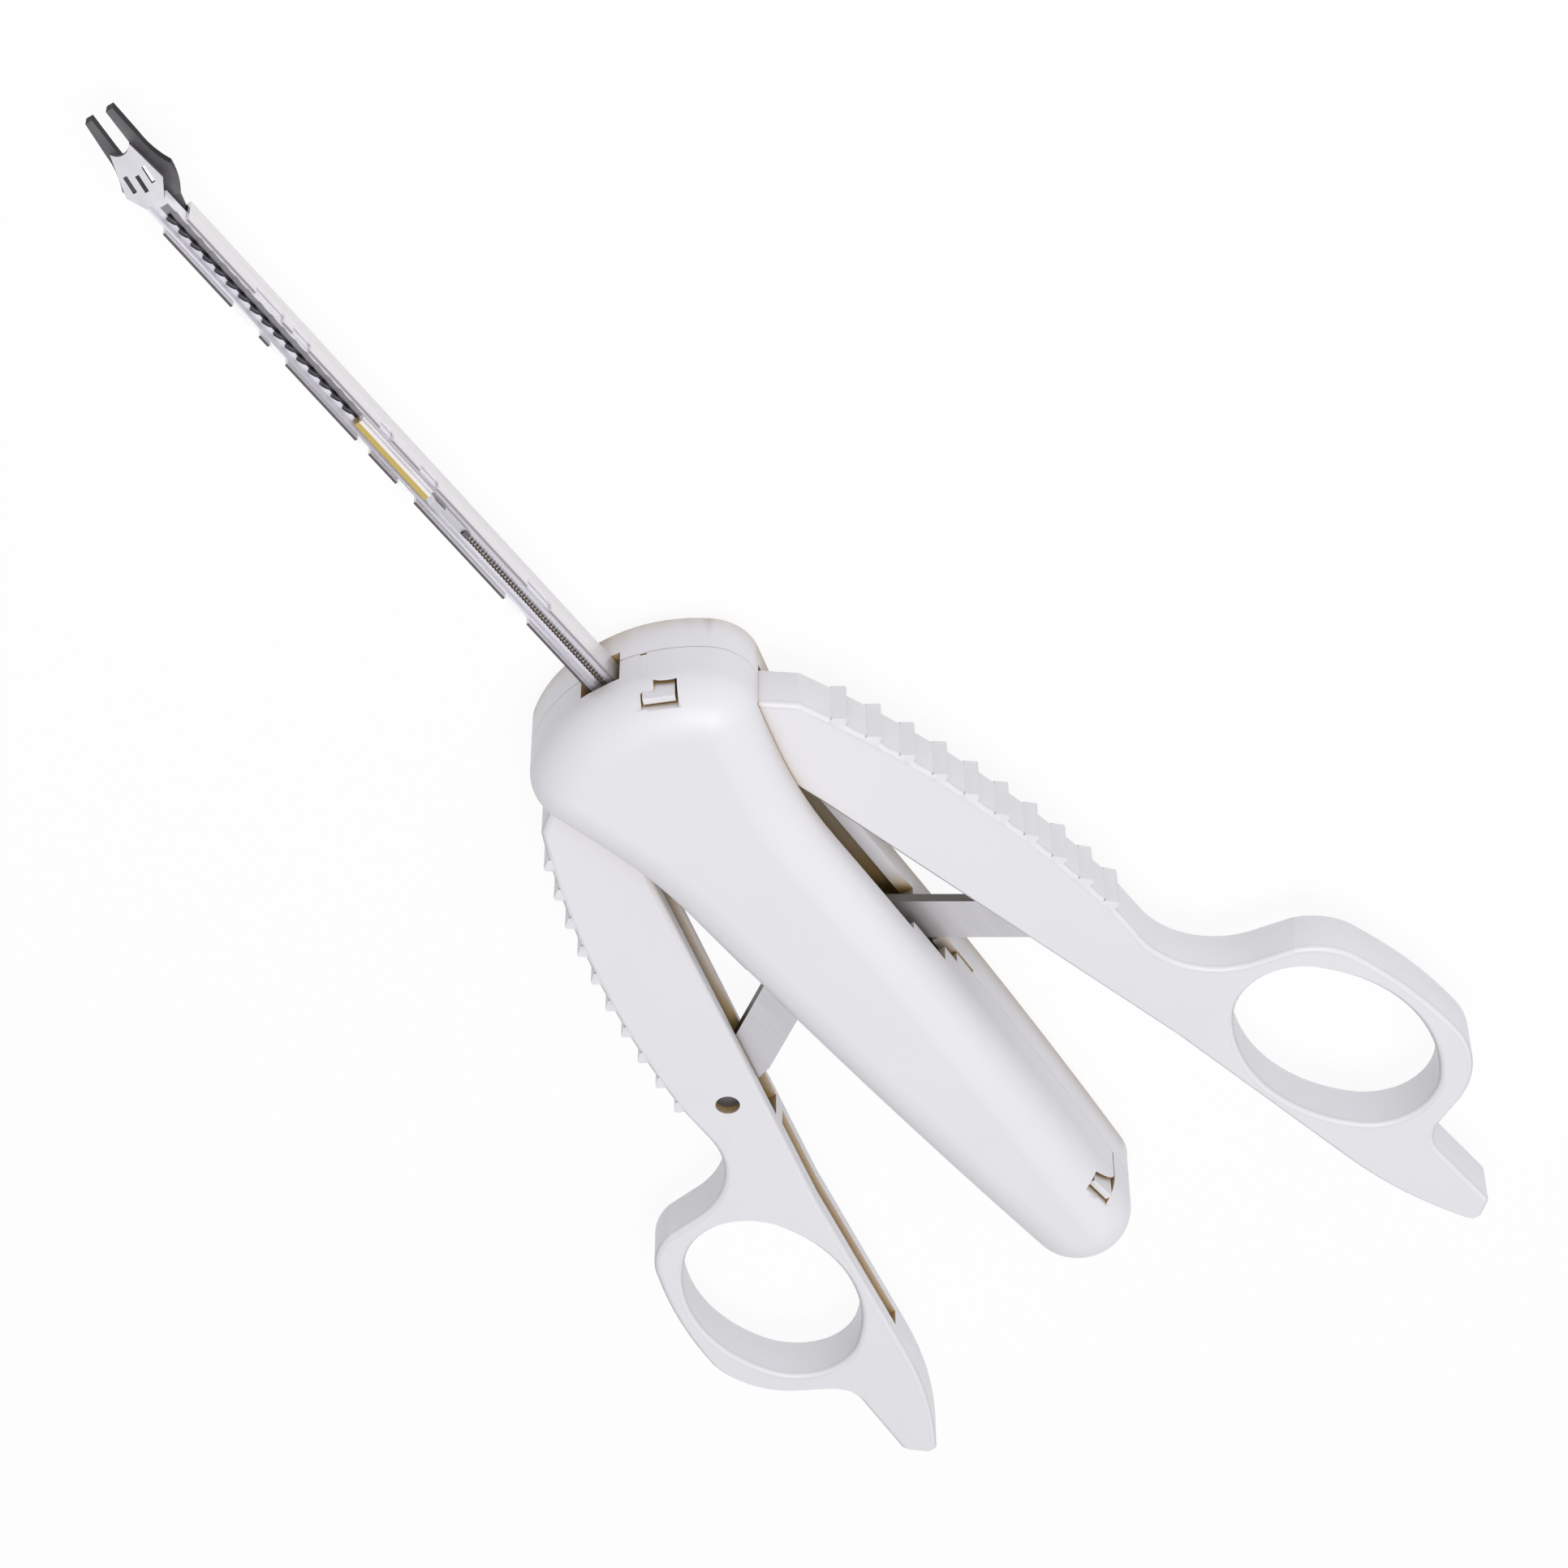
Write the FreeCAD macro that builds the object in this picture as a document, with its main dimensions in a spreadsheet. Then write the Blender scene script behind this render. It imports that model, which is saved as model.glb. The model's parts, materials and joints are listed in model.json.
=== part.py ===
import FreeCAD, Part
import math
import os
import re
import Sketcher

# Multi-clip applier for open surgery. Two ring handles swing on pins inside a two-shell body and
# drive a slider through flat steel links. The slider pushes a steel channel along the shaft,
# which squeezes two jaws on a clip. Millimetres and degrees.
# +X runs to the jaws, +Y to the user's left handle, +Z up. The origin lies on the body's underside,
# midway between the handle pivots.

Vector = FreeCAD.Vector
Rotation = FreeCAD.Rotation
Placement = FreeCAD.Placement
X_AXIS = Vector(1, 0, 0)
Y_AXIS = Vector(0, 1, 0)
Z_AXIS = Vector(0, 0, 1)

sizes = {
    # Body, two shells that meet a little below the plane in which the handles and links swing
    "body_height": 17.0,
    "parting_drop": 1.5,
    "wall": 1.8,
    "top_edge_radius": 6.0,
    "bottom_edge_radius": 3.2,
    "nose_x": 9.65,
    "nose_half": 0.58,
    "brow_radius": 19.5,
    "brow_turn": 38.1,
    "shoulder_radius": 6.4,
    "shoulder_turn": 66.9,
    "flank_length": 7.26,
    "flank_radius": 66.9,
    "flank_turn": 13.7,
    "side_radius": 1200.0,
    "side_turn": 3.5,
    "body_half": 15.1,
    "nose_opening_width": 5.5,
    "nose_opening_rise": 1.7,
    "nose_opening_drop": 3.0,
    "slot_front_x": 0.5,
    "slot_step_x": -42.0,
    "slot_rear_x": -49.6,
    "relief_rear_x": -52.6,
    "slit_rear_x": -56.7,
    "slit_depth": 0.5,
    "link_slot_half": 2.4,
    "window_length": 4.4,
    "window_width": 1.7,
    "front_window_x": 7.5,
    "front_window_y": -7.05,
    "front_window_turn": 66.0,
    "rear_window_x": -92.0,
    "rear_window_y": -6.1,
    "rear_window_turn": 3.6,
    "snap_arm_thickness": 0.9,
    "snap_arm_gap": 0.3,
    "boss_radius": 3.2,
    "rail_front_x": -12.0,
    "rail_rear_x": -46.0,
    "rail_thickness": 1.0,
    "rail_clear": 1.0,
    "runner_width": 1.2,
    # Fits, as radial or one-sided gaps
    "press_gap": 0.02,
    "running_gap": 0.06,
    "side_gap": 0.25,
    # Handle moulding, measured from its pivot
    "pivot_y": 9.5,
    "pivot_pin_radius": 1.5,
    "hub_radius": 3.4,
    "handle_thickness": 6.5,
    "handle_wall": 1.5,
    "handle_edge": 0.7,
    "handle_corner": 1.2,
    "handle_swing": 10.0,
    "grip_front_x": -4.5,
    "grip_front_y": 9.0,
    "grip_rear_x": -53.4,
    "grip_rear_y": 22.3,
    "grip_radius": 150.0,
    "neck_x": -59.4,
    "neck_y": 22.4,
    "neck_radius": 11.4,
    "crest_x": -70.7,
    "crest_y": 32.7,
    "ring_front_x": -71.4,
    "ring_front_y": 37.0,
    "ring_corner_radius": 9.0,
    "ring_top_x": -77.5,
    "ring_top_y": 42.9,
    "ring_top_radius": 60.0,
    "ring_back_x": -96.0,
    "ring_back_y": 46.8,
    "ring_back_radius": 12.5,
    "ring_end_x": -106.8,
    "ring_end_y": 39.8,
    "horn_root_x": -108.6,
    "horn_root_y": 36.6,
    "horn_root_radius": 4.6,
    "horn_x": -112.8,
    "horn_y": 34.3,
    "horn_tip_x": -124.66,
    "horn_tip_y": 35.2,
    "horn_end_x": -127.66,
    "horn_end_y": 31.9,
    "horn_inner_radius": 60.0,
    "ring_inner_x": -108.5,
    "ring_inner_y": 24.1,
    "palm_x": -76.5,
    "palm_y": 17.4,
    "throat_x": -18.5,
    "throat_y": 2.4,
    "loop_x": -89.2,
    "loop_y": 32.8,
    "loop_length": 31.4,
    "loop_width": 21.6,
    "loop_tilt": 171.5,
    "loop_end_radius": 8.2,
    "rib_count": 10,
    "rib_pitch": 4.95,
    "rib_first": 5.4,
    "rib_width": 1.9,
    "rib_height": 0.9,
    "mouth_front_x": -12.0,
    "mouth_rear_x": -61.3,
    "groove_front_x": -63.6,
    "groove_rear_x": -104.0,
    "groove_depth": 0.9,
    "groove_width": 2.4,
    # Links and the pins that they turn on
    "link_pin_x": -55.2,
    "link_pin_y": 16.7,
    "link_pin_radius": 1.45,
    "link_hole_radius": 1.55,
    "link_pin_recess": 1.2,
    "link_length": 31.56,
    "link_half_width": 3.05,
    "link_thickness": 1.3,
    "link_gap": 0.1,
    "heel_back": 0.8,
    "heel_reach": 5.8,
    "heel_start": 6.3,
    "heel_radius": 5.2,
    "slider_pin_radius": 1.25,
    "open_pivot_gap": 0.5,
    # Drive slider, measured from its pin
    "slider_rear": 4.4,
    "slider_front": 14.6,
    "slider_half_width": 4.0,
    "slider_half_height": 4.0,
    "fork_front": 4.3,
    "bore_rear": 5.0,
    "slider_stroke": 7.8,
    # Shaft, whose axis lies below the parting plane
    "shaft_drop": 0.8,
    "channel_width": 3.5,
    "channel_height": 3.4,
    "channel_sheet": 0.35,
    "channel_front_x": 88.0,
    "channel_stroke": 1.5,
    "shaft_window_height": 1.5,
    "shaft_gap": 0.06,
    "frame_rear_x": -14.0,
    "frame_front_x": 91.5,
    "frame_floor_z": 0.0,
    "frame_sheet": 0.3,
    "frame_top_z": 1.1,
    "cover_thickness": 0.42,
    "cover_slit": 1.2,
    "cover_rear_x": 1.5,
    "cover_tab_reach": 0.3,
    "anchor_rear_x": -12.0,
    "anchor_front_x": -4.0,
    "spigot_radius": 0.7,
    # Jaws, side view measured from the shaft's axis
    "jaw_root_x": 62.0,
    "jaw_hinge_x": 72.0,
    "shank_half": 1.25,
    "shank_inner": 0.12,
    "shank_bottom_z": -1.3,
    "shank_thickness": 0.8,
    "cam_x": 88.2,
    "cam_front_x": 89.7,
    "cam_half": 1.75,
    "jaw_bend_x": 90.2,
    "bulge_x": 93.4,
    "bulge_half": 3.3,
    "bulge_radius": 7.0,
    "jaw_waist_x": 97.6,
    "jaw_waist_half": 2.2,
    "jaw_waist_radius": 9.0,
    "jaw_tip_x": 101.6,
    "jaw_tip_half": 1.85,
    "jaw_tip_gap": 0.95,
    "jaw_tip_drop": 3.2,
    "jaw_tip_thickness": 1.1,
    "jaw_swing": 1.7,
    "nose_plate_sheet": 0.35,
    "nose_plate_front_x": 97.9,
    "nose_plate_half": 2.5,
    "nose_plate_fall": 2.5,
    "crotch_radius": 1.3,
    "vent_length": 2.8,
    "vent_width": 0.5,
    "vent_pitch": 1.25,
    # Feed
    "feed_rear_x": -20.0,
    "feed_front_x": 86.0,
    "feed_width": 1.6,
    "feed_bottom_z": -0.42,
    "feed_thickness": 0.35,
    "clip_count": 16,
    "clip_pitch": 2.06,
    "clip_rear_x": 55.9,
    "clip_wire": 0.5,
    "clip_length": 1.9,
    "clip_width": 1.5,
    "clip_lift": 0.06,
    "follower_length": 12.9,
    "follower_width": 1.6,
    "latch_length": 2.6,
    "latch_width": 1.0,
    "button_x": 36.4,
    "button_radius": 0.42,
    "follower_spring_radius": 0.4,
    "follower_spring_rear_x": 3.4,
    # Return spring and its post
    "spring_radius": 2.2,
    "spring_post_x": -97.0,
    "spring_post_radius": 1.3,
    "lug_length": 3.0,
    "lug_thickness": 1.2,
}

# Places along the shaft of the side windows, with their lengths
shaft_windows = {
    "tip": (73.9, 4.9),
    "second": (68.3, 3.1),
    "middle": (52.9, 2.4),
    "follower": (45.0, 3.4),
    "rear": (24.0, 4.6),
}

doc = FreeCAD.newDocument("clip_applier")
sheet = doc.addObject("Spreadsheet::Sheet", "Sizes")
for row, (alias, number) in enumerate(sizes.items(), start=1):
    sheet.set(f"A{row}", alias)
    sheet.set(f"B{row}", str(number))
    sheet.setAlias(f"B{row}", alias)
doc.recompute()

parts = []


def value(text):
    """Number that an expression of sheet names stands for."""
    return float(sheet.evalExpression(str(text)))


def bound(text):
    """The same expression as another object reads it."""
    return re.sub(r"[a-z]+(_[a-z]+)*", lambda name: "Sizes." * (name.group() in sizes) + name.group(), str(text))


def bind(thing, **links):
    for name, text in links.items():
        setattr(thing, name, value(text))
        thing.setExpression(name, bound(text))


def part(thing, label, place=None):
    """Registers a finished sub-part under its node name."""
    thing.Label = label
    if place:
        thing.Placement = place
    parts.append(thing)
    return thing


def new_body(name):
    return doc.addObject("PartDesign::Body", name)


def new_sketch(body, name, plane="XY_Plane", at=("0", "0", "0"), turn="0"):
    """Sketch on an origin plane, moved by at and turned by turn in its own directions."""
    sketch = body.newObject("Sketcher::SketchObject", name)
    support = [feature for feature in body.Origin.OriginFeatures if feature.Role == plane][0]
    sketch.AttachmentSupport = [(support, "")]
    sketch.MapMode = "FlatFace"
    place = Vector(*[value(text) for text in at])
    sketch.AttachmentOffset = Placement(place, Rotation(Z_AXIS, value(turn)))
    for axis, text in zip("xyz", at):
        sketch.setExpression(f"AttachmentOffset.Base.{axis}", bound(text))
    return sketch


def trace(sketch, corners):
    """Closed outline. A corner is x, y after a straight run, or x, y, r after an arc of radius r,
    which turns left where r has no minus sign and right where it has one."""
    spots = [Vector(value(corner[0]), value(corner[1]), 0) for corner in corners]
    first = sketch.GeometryCount
    ends = []
    rules = []
    links = []
    for index, corner in enumerate(corners):
        start = spots[index - 1]
        end = spots[index]
        geometry = first + index
        if len(corner) == 2:
            sketch.addGeometry(Part.LineSegment(start, end), False)
            ends.append((1, 2))
            continue
        left = not str(corner[2]).startswith("-")
        radius = abs(value(corner[2]))
        chord = end - start
        rise = math.sqrt(max(radius ** 2 - (chord.Length / 2) ** 2, 0))
        across = Vector(-chord.y, chord.x, 0).normalize()
        centre = start + chord * 0.5 + across * (rise if left else -rise)
        angles = [math.atan2(spot.y - centre.y, spot.x - centre.x) for spot in (start, end)]
        if not left:
            angles.reverse()
        circle = Part.Circle(centre, Z_AXIS, radius)
        sketch.addGeometry(Part.ArcOfCircle(circle, angles[0], angles[1]), False)
        ends.append((1, 2) if left else (2, 1))
        rules.append(Sketcher.Constraint("Radius", geometry, radius))
        links.append(str(corner[2]).lstrip("-"))
    count = len(corners)
    for index, corner in enumerate(corners):
        following = (index + 1) % count
        rules.append(Sketcher.Constraint("DistanceX", first + index, ends[index][1], spots[index].x))
        links.append(corner[0])
        rules.append(Sketcher.Constraint("DistanceY", first + index, ends[index][1], spots[index].y))
        links.append(corner[1])
        rules.append(Sketcher.Constraint(
            "Coincident", first + index, ends[index][1], first + following, ends[following][0]))
        links.append(None)
    start_rule = sketch.ConstraintCount
    sketch.addConstraint(rules)
    for offset, text in enumerate(links):
        if text is not None and not re.fullmatch(r"-?[\d.]+", str(text)):
            sketch.setExpression(f"Constraints[{start_rule + offset}]", bound(text))
    return sketch


def rectangle(sketch, x_low, x_high, y_low, y_high):
    return trace(sketch, [(x_low, y_low), (x_high, y_low), (x_high, y_high), (x_low, y_high)])


def ring(sketch, x, y, radius):
    """Full circle."""
    geometry = sketch.addGeometry(Part.Circle(Vector(value(x), value(y), 0), Z_AXIS, value(radius)), False)
    start = sketch.ConstraintCount
    sketch.addConstraint([
        Sketcher.Constraint("DistanceX", geometry, 3, value(x)),
        Sketcher.Constraint("DistanceY", geometry, 3, value(y)),
        Sketcher.Constraint("Radius", geometry, value(radius))])
    for offset, text in enumerate((x, y, radius)):
        if not re.fullmatch(r"-?[\d.]+", str(text)):
            sketch.setExpression(f"Constraints[{start + offset}]", bound(text))
    return sketch


def pad(body, sketch, length, symmetric=False, reverse=False):
    return extrude(body, "PartDesign::Pad", sketch, length, symmetric, reverse)


def pocket(body, sketch, length, symmetric=False, reverse=False):
    """Cuts the sketch out of the body and makes sure that something was cut."""
    before = body.Shape.Volume
    feature = extrude(body, "PartDesign::Pocket", sketch, length, symmetric, reverse)
    if not body.Shape.Volume < before - 1e-6:
        raise ValueError("nothing cut by " + feature.Name)
    return feature


def extrude(body, kind, sketch, length, symmetric, reverse):
    feature = body.newObject(kind, sketch.Name + "_" + kind.split("::")[1].lower())
    feature.Profile = sketch
    bind(feature, Length=length)
    feature.SideType = "Symmetric" if symmetric else "One side"
    feature.Reversed = reverse
    body.Tip = feature
    doc.recompute()
    return feature


def fillet(body, name, radius, chosen):
    """Rounds the edges that the chosen test picks."""
    return dress(body, name, "PartDesign::Fillet", chosen, Radius=radius)


def chamfer(body, name, size, chosen):
    return dress(body, name, "PartDesign::Chamfer", chosen, Size=size)


def dress(body, name, kind, chosen, **links):
    base = body.Tip
    names = [f"Edge{index}" for index, edge in enumerate(base.Shape.Edges, start=1) if chosen(edge)]
    feature = body.newObject(kind, name)
    feature.Base = (base, names)
    bind(feature, **links)
    body.Tip = feature
    doc.recompute()
    return feature


def lies_at(edge, level):
    return all(abs(vertex.Z - level) < 1e-6 for vertex in edge.Vertexes)


def turn_at(solid, edge):
    """Angle between the two side faces that meet at an upright edge, 0 for other edges."""
    if abs(edge.tangentAt(edge.FirstParameter).z) < 0.99:
        return 0
    spot = edge.valueAt((edge.FirstParameter + edge.LastParameter) / 2)
    faces = [face for face in solid.Faces if any(other.isSame(edge) for other in face.Edges)]
    normals = [face.normalAt(*face.Surface.parameter(spot)) for face in faces]
    return math.degrees(normals[0].getAngle(normals[1])) if len(normals) == 2 else 0


def cylinder(name, radius, height, place):
    thing = doc.addObject("Part::Cylinder", name)
    bind(thing, Radius=radius, Height=height)
    return part(thing, name, place)


parting = value("body_height/2")
shaft_z = value("body_height/2 - shaft_drop")
slider_pin_x = value("link_pin_x + sqrt(pow(link_length; 2) - pow(pivot_y + link_pin_y; 2))")
SLIDER_X = "(link_pin_x + sqrt(pow(link_length; 2) - pow(pivot_y + link_pin_y; 2)))"


# Body shells

def shell_outline(inset):
    """Plan of the body, tangent arcs from the nose round to the tail, moved inwards by inset."""
    shift = value(inset)
    x = value("nose_x")
    y = value("nose_half")
    heading = math.radians(90)
    half = [(x - shift, y)]
    for radius, run in (("brow_radius", "brow_turn"), ("shoulder_radius", "shoulder_turn"),
                        (None, "flank_length"), ("-flank_radius", "flank_turn"), ("side_radius", "side_turn")):
        if radius:
            bend = value(radius)
            turned = heading + math.copysign(math.radians(value(run)), bend)
            x += bend * (math.sin(turned) - math.sin(heading))
            y -= bend * (math.cos(turned) - math.cos(heading))
            heading = turned
        else:
            x += value(run) * math.cos(heading)
            y += value(run) * math.sin(heading)
        spot = (x - shift * math.sin(heading), y + shift * math.cos(heading))
        half.append(spot + (bend - shift,) if radius else spot)
    arcs = [corner[2:] for corner in half]
    tail_radius = -y / math.cos(heading) - shift
    other = [(half[-1][0], -half[-1][1], tail_radius)]
    for index in range(len(half) - 2, -1, -1):
        other.append((half[index][0], -half[index][1]) + arcs[index + 1])
    return half + other


def shell(label, upper):
    """One body shell, modelled with the plane of the handles at z = 0."""
    side = 1 if upper else -1
    radius = "top_edge_radius" if upper else "bottom_edge_radius"
    reach = "parting_drop" if upper else "-parting_drop"
    bodies = []
    for name, inset in ((label, "0"), (label + "_cavity", "wall")):
        body = new_body(name)
        outline = new_sketch(body, name + "_outline", at=("0", "0", "-parting_drop"))
        trace(outline, shell_outline(inset))
        level = f"body_height/2 - {inset}"
        pad(body, outline, f"{level} + {reach}", reverse=not upper)
        if upper and inset == "0":
            fillet(body, name + "_edge", radius, lambda edge: lies_at(edge, side * value(level)))
        else:
            chamfer(body, name + "_edge", f"0.6*({radius} - {inset})",
                    lambda edge: lies_at(edge, side * value(level)))
        bodies.append(body)
    body, cavity = bodies
    hollow = body.newObject("PartDesign::Boolean", label + "_hollow")
    hollow.Type = "Cut"
    hollow.addObject(cavity)
    body.Tip = hollow
    doc.recompute()
    cut_openings(body, label, upper)
    add_bosses(body, label, upper)
    return part(body, label, Placement(Vector(0, 0, parting), Rotation()))


def cut_openings(body, label, upper):
    """Nose opening for the shaft and side slots for the handles and links, cut from the parting."""
    base = ("0", "0", "-parting_drop")
    reach = "parting_drop" if upper else "-parting_drop"
    nose = new_sketch(body, label + "_nose", at=base)
    rectangle(nose, "nose_x - 2*wall", "nose_x + wall", "-nose_opening_width/2", "nose_opening_width/2")
    rise = "nose_opening_rise" if upper else "nose_opening_drop"
    pocket(body, nose, f"{rise} + {reach}", reverse=upper)
    outside = "(body_half + wall)"
    for hand, side in (("left", ""), ("right", "-")):
        grip = new_sketch(body, f"{label}_{hand}_slot", at=base)
        corners = [
            ("slot_step_x", f"{side}(pivot_y - hub_radius)"),
            ("slot_front_x", f"{side}(pivot_y - hub_radius)"),
            ("slot_front_x", f"{side}(pivot_y + hub_radius)"),
            (f"slot_front_x - {outside} + pivot_y + hub_radius", f"{side}{outside}"),
            ("slot_step_x", f"{side}{outside}"),
        ]
        if side:
            corners.reverse()
        trace(grip, corners)
        pocket(body, grip, f"handle_thickness/2 + side_gap + {reach}", reverse=upper)
        link_cuts = [("link_slot", "slot_rear_x", f"link_slot_half + {reach}")]
        if upper:
            link_top = "link_gap + link_thickness" if hand == "left" else "-link_gap"
            link_cuts.append(("relief", "relief_rear_x", f"parting_drop + {link_top} + side_gap"))
        else:
            link_cuts.append(("slit", "slit_rear_x", "slit_depth"))
        for name, rear, depth in link_cuts:
            low = new_sketch(body, f"{label}_{hand}_{name}", at=base)
            edges = [f"{side}(pivot_y - hub_radius)", f"{side}{outside}"]
            if side:
                edges.reverse()
            rectangle(low, rear, "slot_step_x + wall", *edges)
            pocket(body, low, depth, reverse=upper)
    if not upper:
        return
    for end in ("front", "rear"):
        window = new_sketch(body, f"{label}_{end}_window", turn=f"{end}_window_turn",
                            at=(f"{end}_window_x", f"{end}_window_y", "-parting_drop"))
        rectangle(window, "-window_length/2", "window_length/2", "-window_width/2", "window_width/2")
        pocket(body, window, "body_height", reverse=True)


def add_bosses(body, label, upper):
    """Pivot bosses, slider rails and runners on the inside of the shell."""
    start = "body_height/2 - wall" if upper else "-(body_height/2 - wall)"
    bosses = new_sketch(body, label + "_bosses", at=("0", "0", start))
    for y in ("pivot_y", "-pivot_y"):
        ring(bosses, "0", y, "boss_radius")
        ring(bosses, "0", y, "pivot_pin_radius + press_gap")
    pad(body, bosses, "body_height/2 - wall - handle_thickness/2 - side_gap", reverse=upper)

    rails = new_sketch(body, label + "_rails", at=("0", "0", start))
    near = "slider_half_width + running_gap"
    far = "slider_half_width + running_gap + rail_thickness"
    rectangle(rails, "rail_rear_x", "rail_front_x", near, far)
    rectangle(rails, "rail_rear_x", "rail_front_x", f"-({far})", f"-({near})")
    pad(body, rails, "body_height/2 - wall - link_thickness - link_gap - rail_clear", reverse=upper)

    runners = new_sketch(body, label + "_runners", at=("0", "0", start))
    for low, high in (("slider_half_width - runner_width", "slider_half_width"),
                      ("-slider_half_width", "-slider_half_width + runner_width")):
        rectangle(runners, "rail_rear_x", "rail_front_x", low, high)
    pad(body, runners, "body_height/2 - wall - slider_half_height - running_gap", reverse=upper)
    if upper:
        return

    post = new_sketch(body, label + "_spring_post", at=("0", "0", start))
    ring(post, "spring_post_x", "0", "spring_post_radius")
    pad(body, post, "2*spring_radius + side_gap")

    for end in ("front", "rear"):
        arm = new_sketch(body, f"{label}_{end}_arm", turn=f"{end}_window_turn",
                         at=(f"{end}_window_x", f"{end}_window_y", start))
        inner = "window_width/2 - snap_arm_gap"
        rectangle(arm, "-window_length/2 + snap_arm_gap", "window_length/2 - snap_arm_gap",
                  f"{inner} - snap_arm_thickness", inner)
        pad(body, arm, "body_height - 2*wall - 2*snap_arm_gap")


# Handles

def handle(label, place):
    """Ring handle, modelled from its pivot with its thickness centred on z = 0."""
    body = new_body(label)
    outline = new_sketch(body, label + "_outline")
    trace(outline, [
        ("hub_radius", "0", "hub_radius"),
        ("0", "hub_radius", "hub_radius"),
        ("grip_front_x", "grip_front_y"),
        ("grip_rear_x", "grip_rear_y", "grip_radius"),
        ("neck_x", "neck_y"),
        ("crest_x", "crest_y", "-neck_radius"),
        ("ring_front_x", "ring_front_y"),
        ("ring_top_x", "ring_top_y", "ring_corner_radius"),
        ("ring_back_x", "ring_back_y", "ring_top_radius"),
        ("ring_end_x", "ring_end_y", "ring_back_radius"),
        ("horn_root_x", "horn_root_y"),
        ("horn_x", "horn_y", "-horn_root_radius"),
        ("horn_tip_x", "horn_tip_y"),
        ("horn_end_x", "horn_end_y"),
        ("ring_inner_x", "ring_inner_y", "horn_inner_radius"),
        ("palm_x", "palm_y"),
        ("throat_x", "throat_y"),
        ("0", "-hub_radius"),
    ])
    pad(body, outline, "handle_thickness", symmetric=True)

    half = value("handle_thickness/2")
    fillet(body, label + "_corners", "handle_corner", lambda edge: turn_at(body.Tip.Shape, edge) > 8)
    chamfer(body, label + "_edge", "handle_edge",
            lambda edge: lies_at(edge, half) or lies_at(edge, -half))
    outer = set(round(edge.Length, 3) for edge in body.Shape.Edges)
    cut_loop(body, label)
    chamfer(body, label + "_loop_edge", "handle_edge",
            lambda edge: (lies_at(edge, half) or lies_at(edge, -half)) and round(edge.Length, 3) not in outer)

    hollow_handle(body, label)
    bore = new_sketch(body, label + "_bore")
    ring(bore, "0", "0", "pivot_pin_radius + running_gap")
    pocket(body, bore, "handle_thickness + wall", symmetric=True)
    eye = new_sketch(body, label + "_pin_seat", at=("0", "0", "-handle_thickness/2 + handle_wall/2"))
    ring(eye, "link_pin_x", "link_pin_y", "link_pin_radius + press_gap")
    pocket(body, eye, "handle_wall/2", reverse=True)
    hole = new_sketch(body, label + "_pin_hole")
    ring(hole, "link_pin_x", "link_pin_y", "link_hole_radius")
    pocket(body, hole, "handle_thickness", reverse=True)
    add_ribs(body, label)
    return part(body, label, place)


def cut_loop(body, label):
    """Finger hole, an oval of four tangent arcs."""
    loop = new_sketch(body, label + "_loop", at=("loop_x", "loop_y", "0"), turn="loop_tilt")
    long_half = "(loop_length/2)"
    short_half = "(loop_width/2)"
    reach = f"({long_half} - loop_end_radius)"
    side = f"((pow({reach}; 2) + pow({short_half}; 2) - pow(loop_end_radius; 2))/(2*({short_half} - loop_end_radius)))"
    x = f"{reach}*{side}/({side} - loop_end_radius)"
    y = f"({side} - {short_half})*loop_end_radius/({side} - loop_end_radius)"
    trace(loop, [
        (x, f"-({y})", side),
        (x, y, "loop_end_radius"),
        (f"-({x})", y, side),
        (f"-({x})", f"-({y})", "loop_end_radius"),
    ])
    pocket(body, loop, "handle_thickness + wall", symmetric=True)


def hollow_handle(body, label):
    """Deep mouth that takes the link and faces the body, and a shallow groove along the ring."""
    mouth = new_sketch(body, label + "_mouth")
    palm_rise = "(palm_y - throat_y)/(throat_x - palm_x)"
    mouth_rear_y = f"(throat_y + (throat_x - mouth_rear_x)*{palm_rise})"
    trace(mouth, [
        ("mouth_front_x", "-hub_radius"),
        ("mouth_front_x", "grip_front_y - handle_wall + (grip_front_x - mouth_front_x)*0.36"),
        ("mouth_rear_x + handle_wall", "link_pin_y + link_half_width + 2*side_gap", "grip_radius"),
        ("mouth_rear_x", "link_pin_y + link_half_width - handle_wall"),
        ("mouth_rear_x", f"{mouth_rear_y} - handle_wall"),
    ])
    pocket(body, mouth, "handle_thickness - 2*handle_wall", symmetric=True)
    groove = new_sketch(body, label + "_groove")
    low = "(palm_y - (groove_front_x - palm_x)*0.2586)"
    trace(groove, [
        ("groove_front_x", f"{low} - handle_wall"),
        ("groove_front_x", f"{low} + groove_depth"),
        ("palm_x", "palm_y + groove_depth"),
        ("groove_rear_x", "palm_y + (palm_x - groove_rear_x)*0.2094 + groove_depth"),
        ("groove_rear_x", "palm_y + (palm_x - groove_rear_x)*0.2094 - handle_wall"),
        ("palm_x", "palm_y - handle_wall"),
    ])
    pocket(body, groove, "groove_width", symmetric=True)


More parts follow.
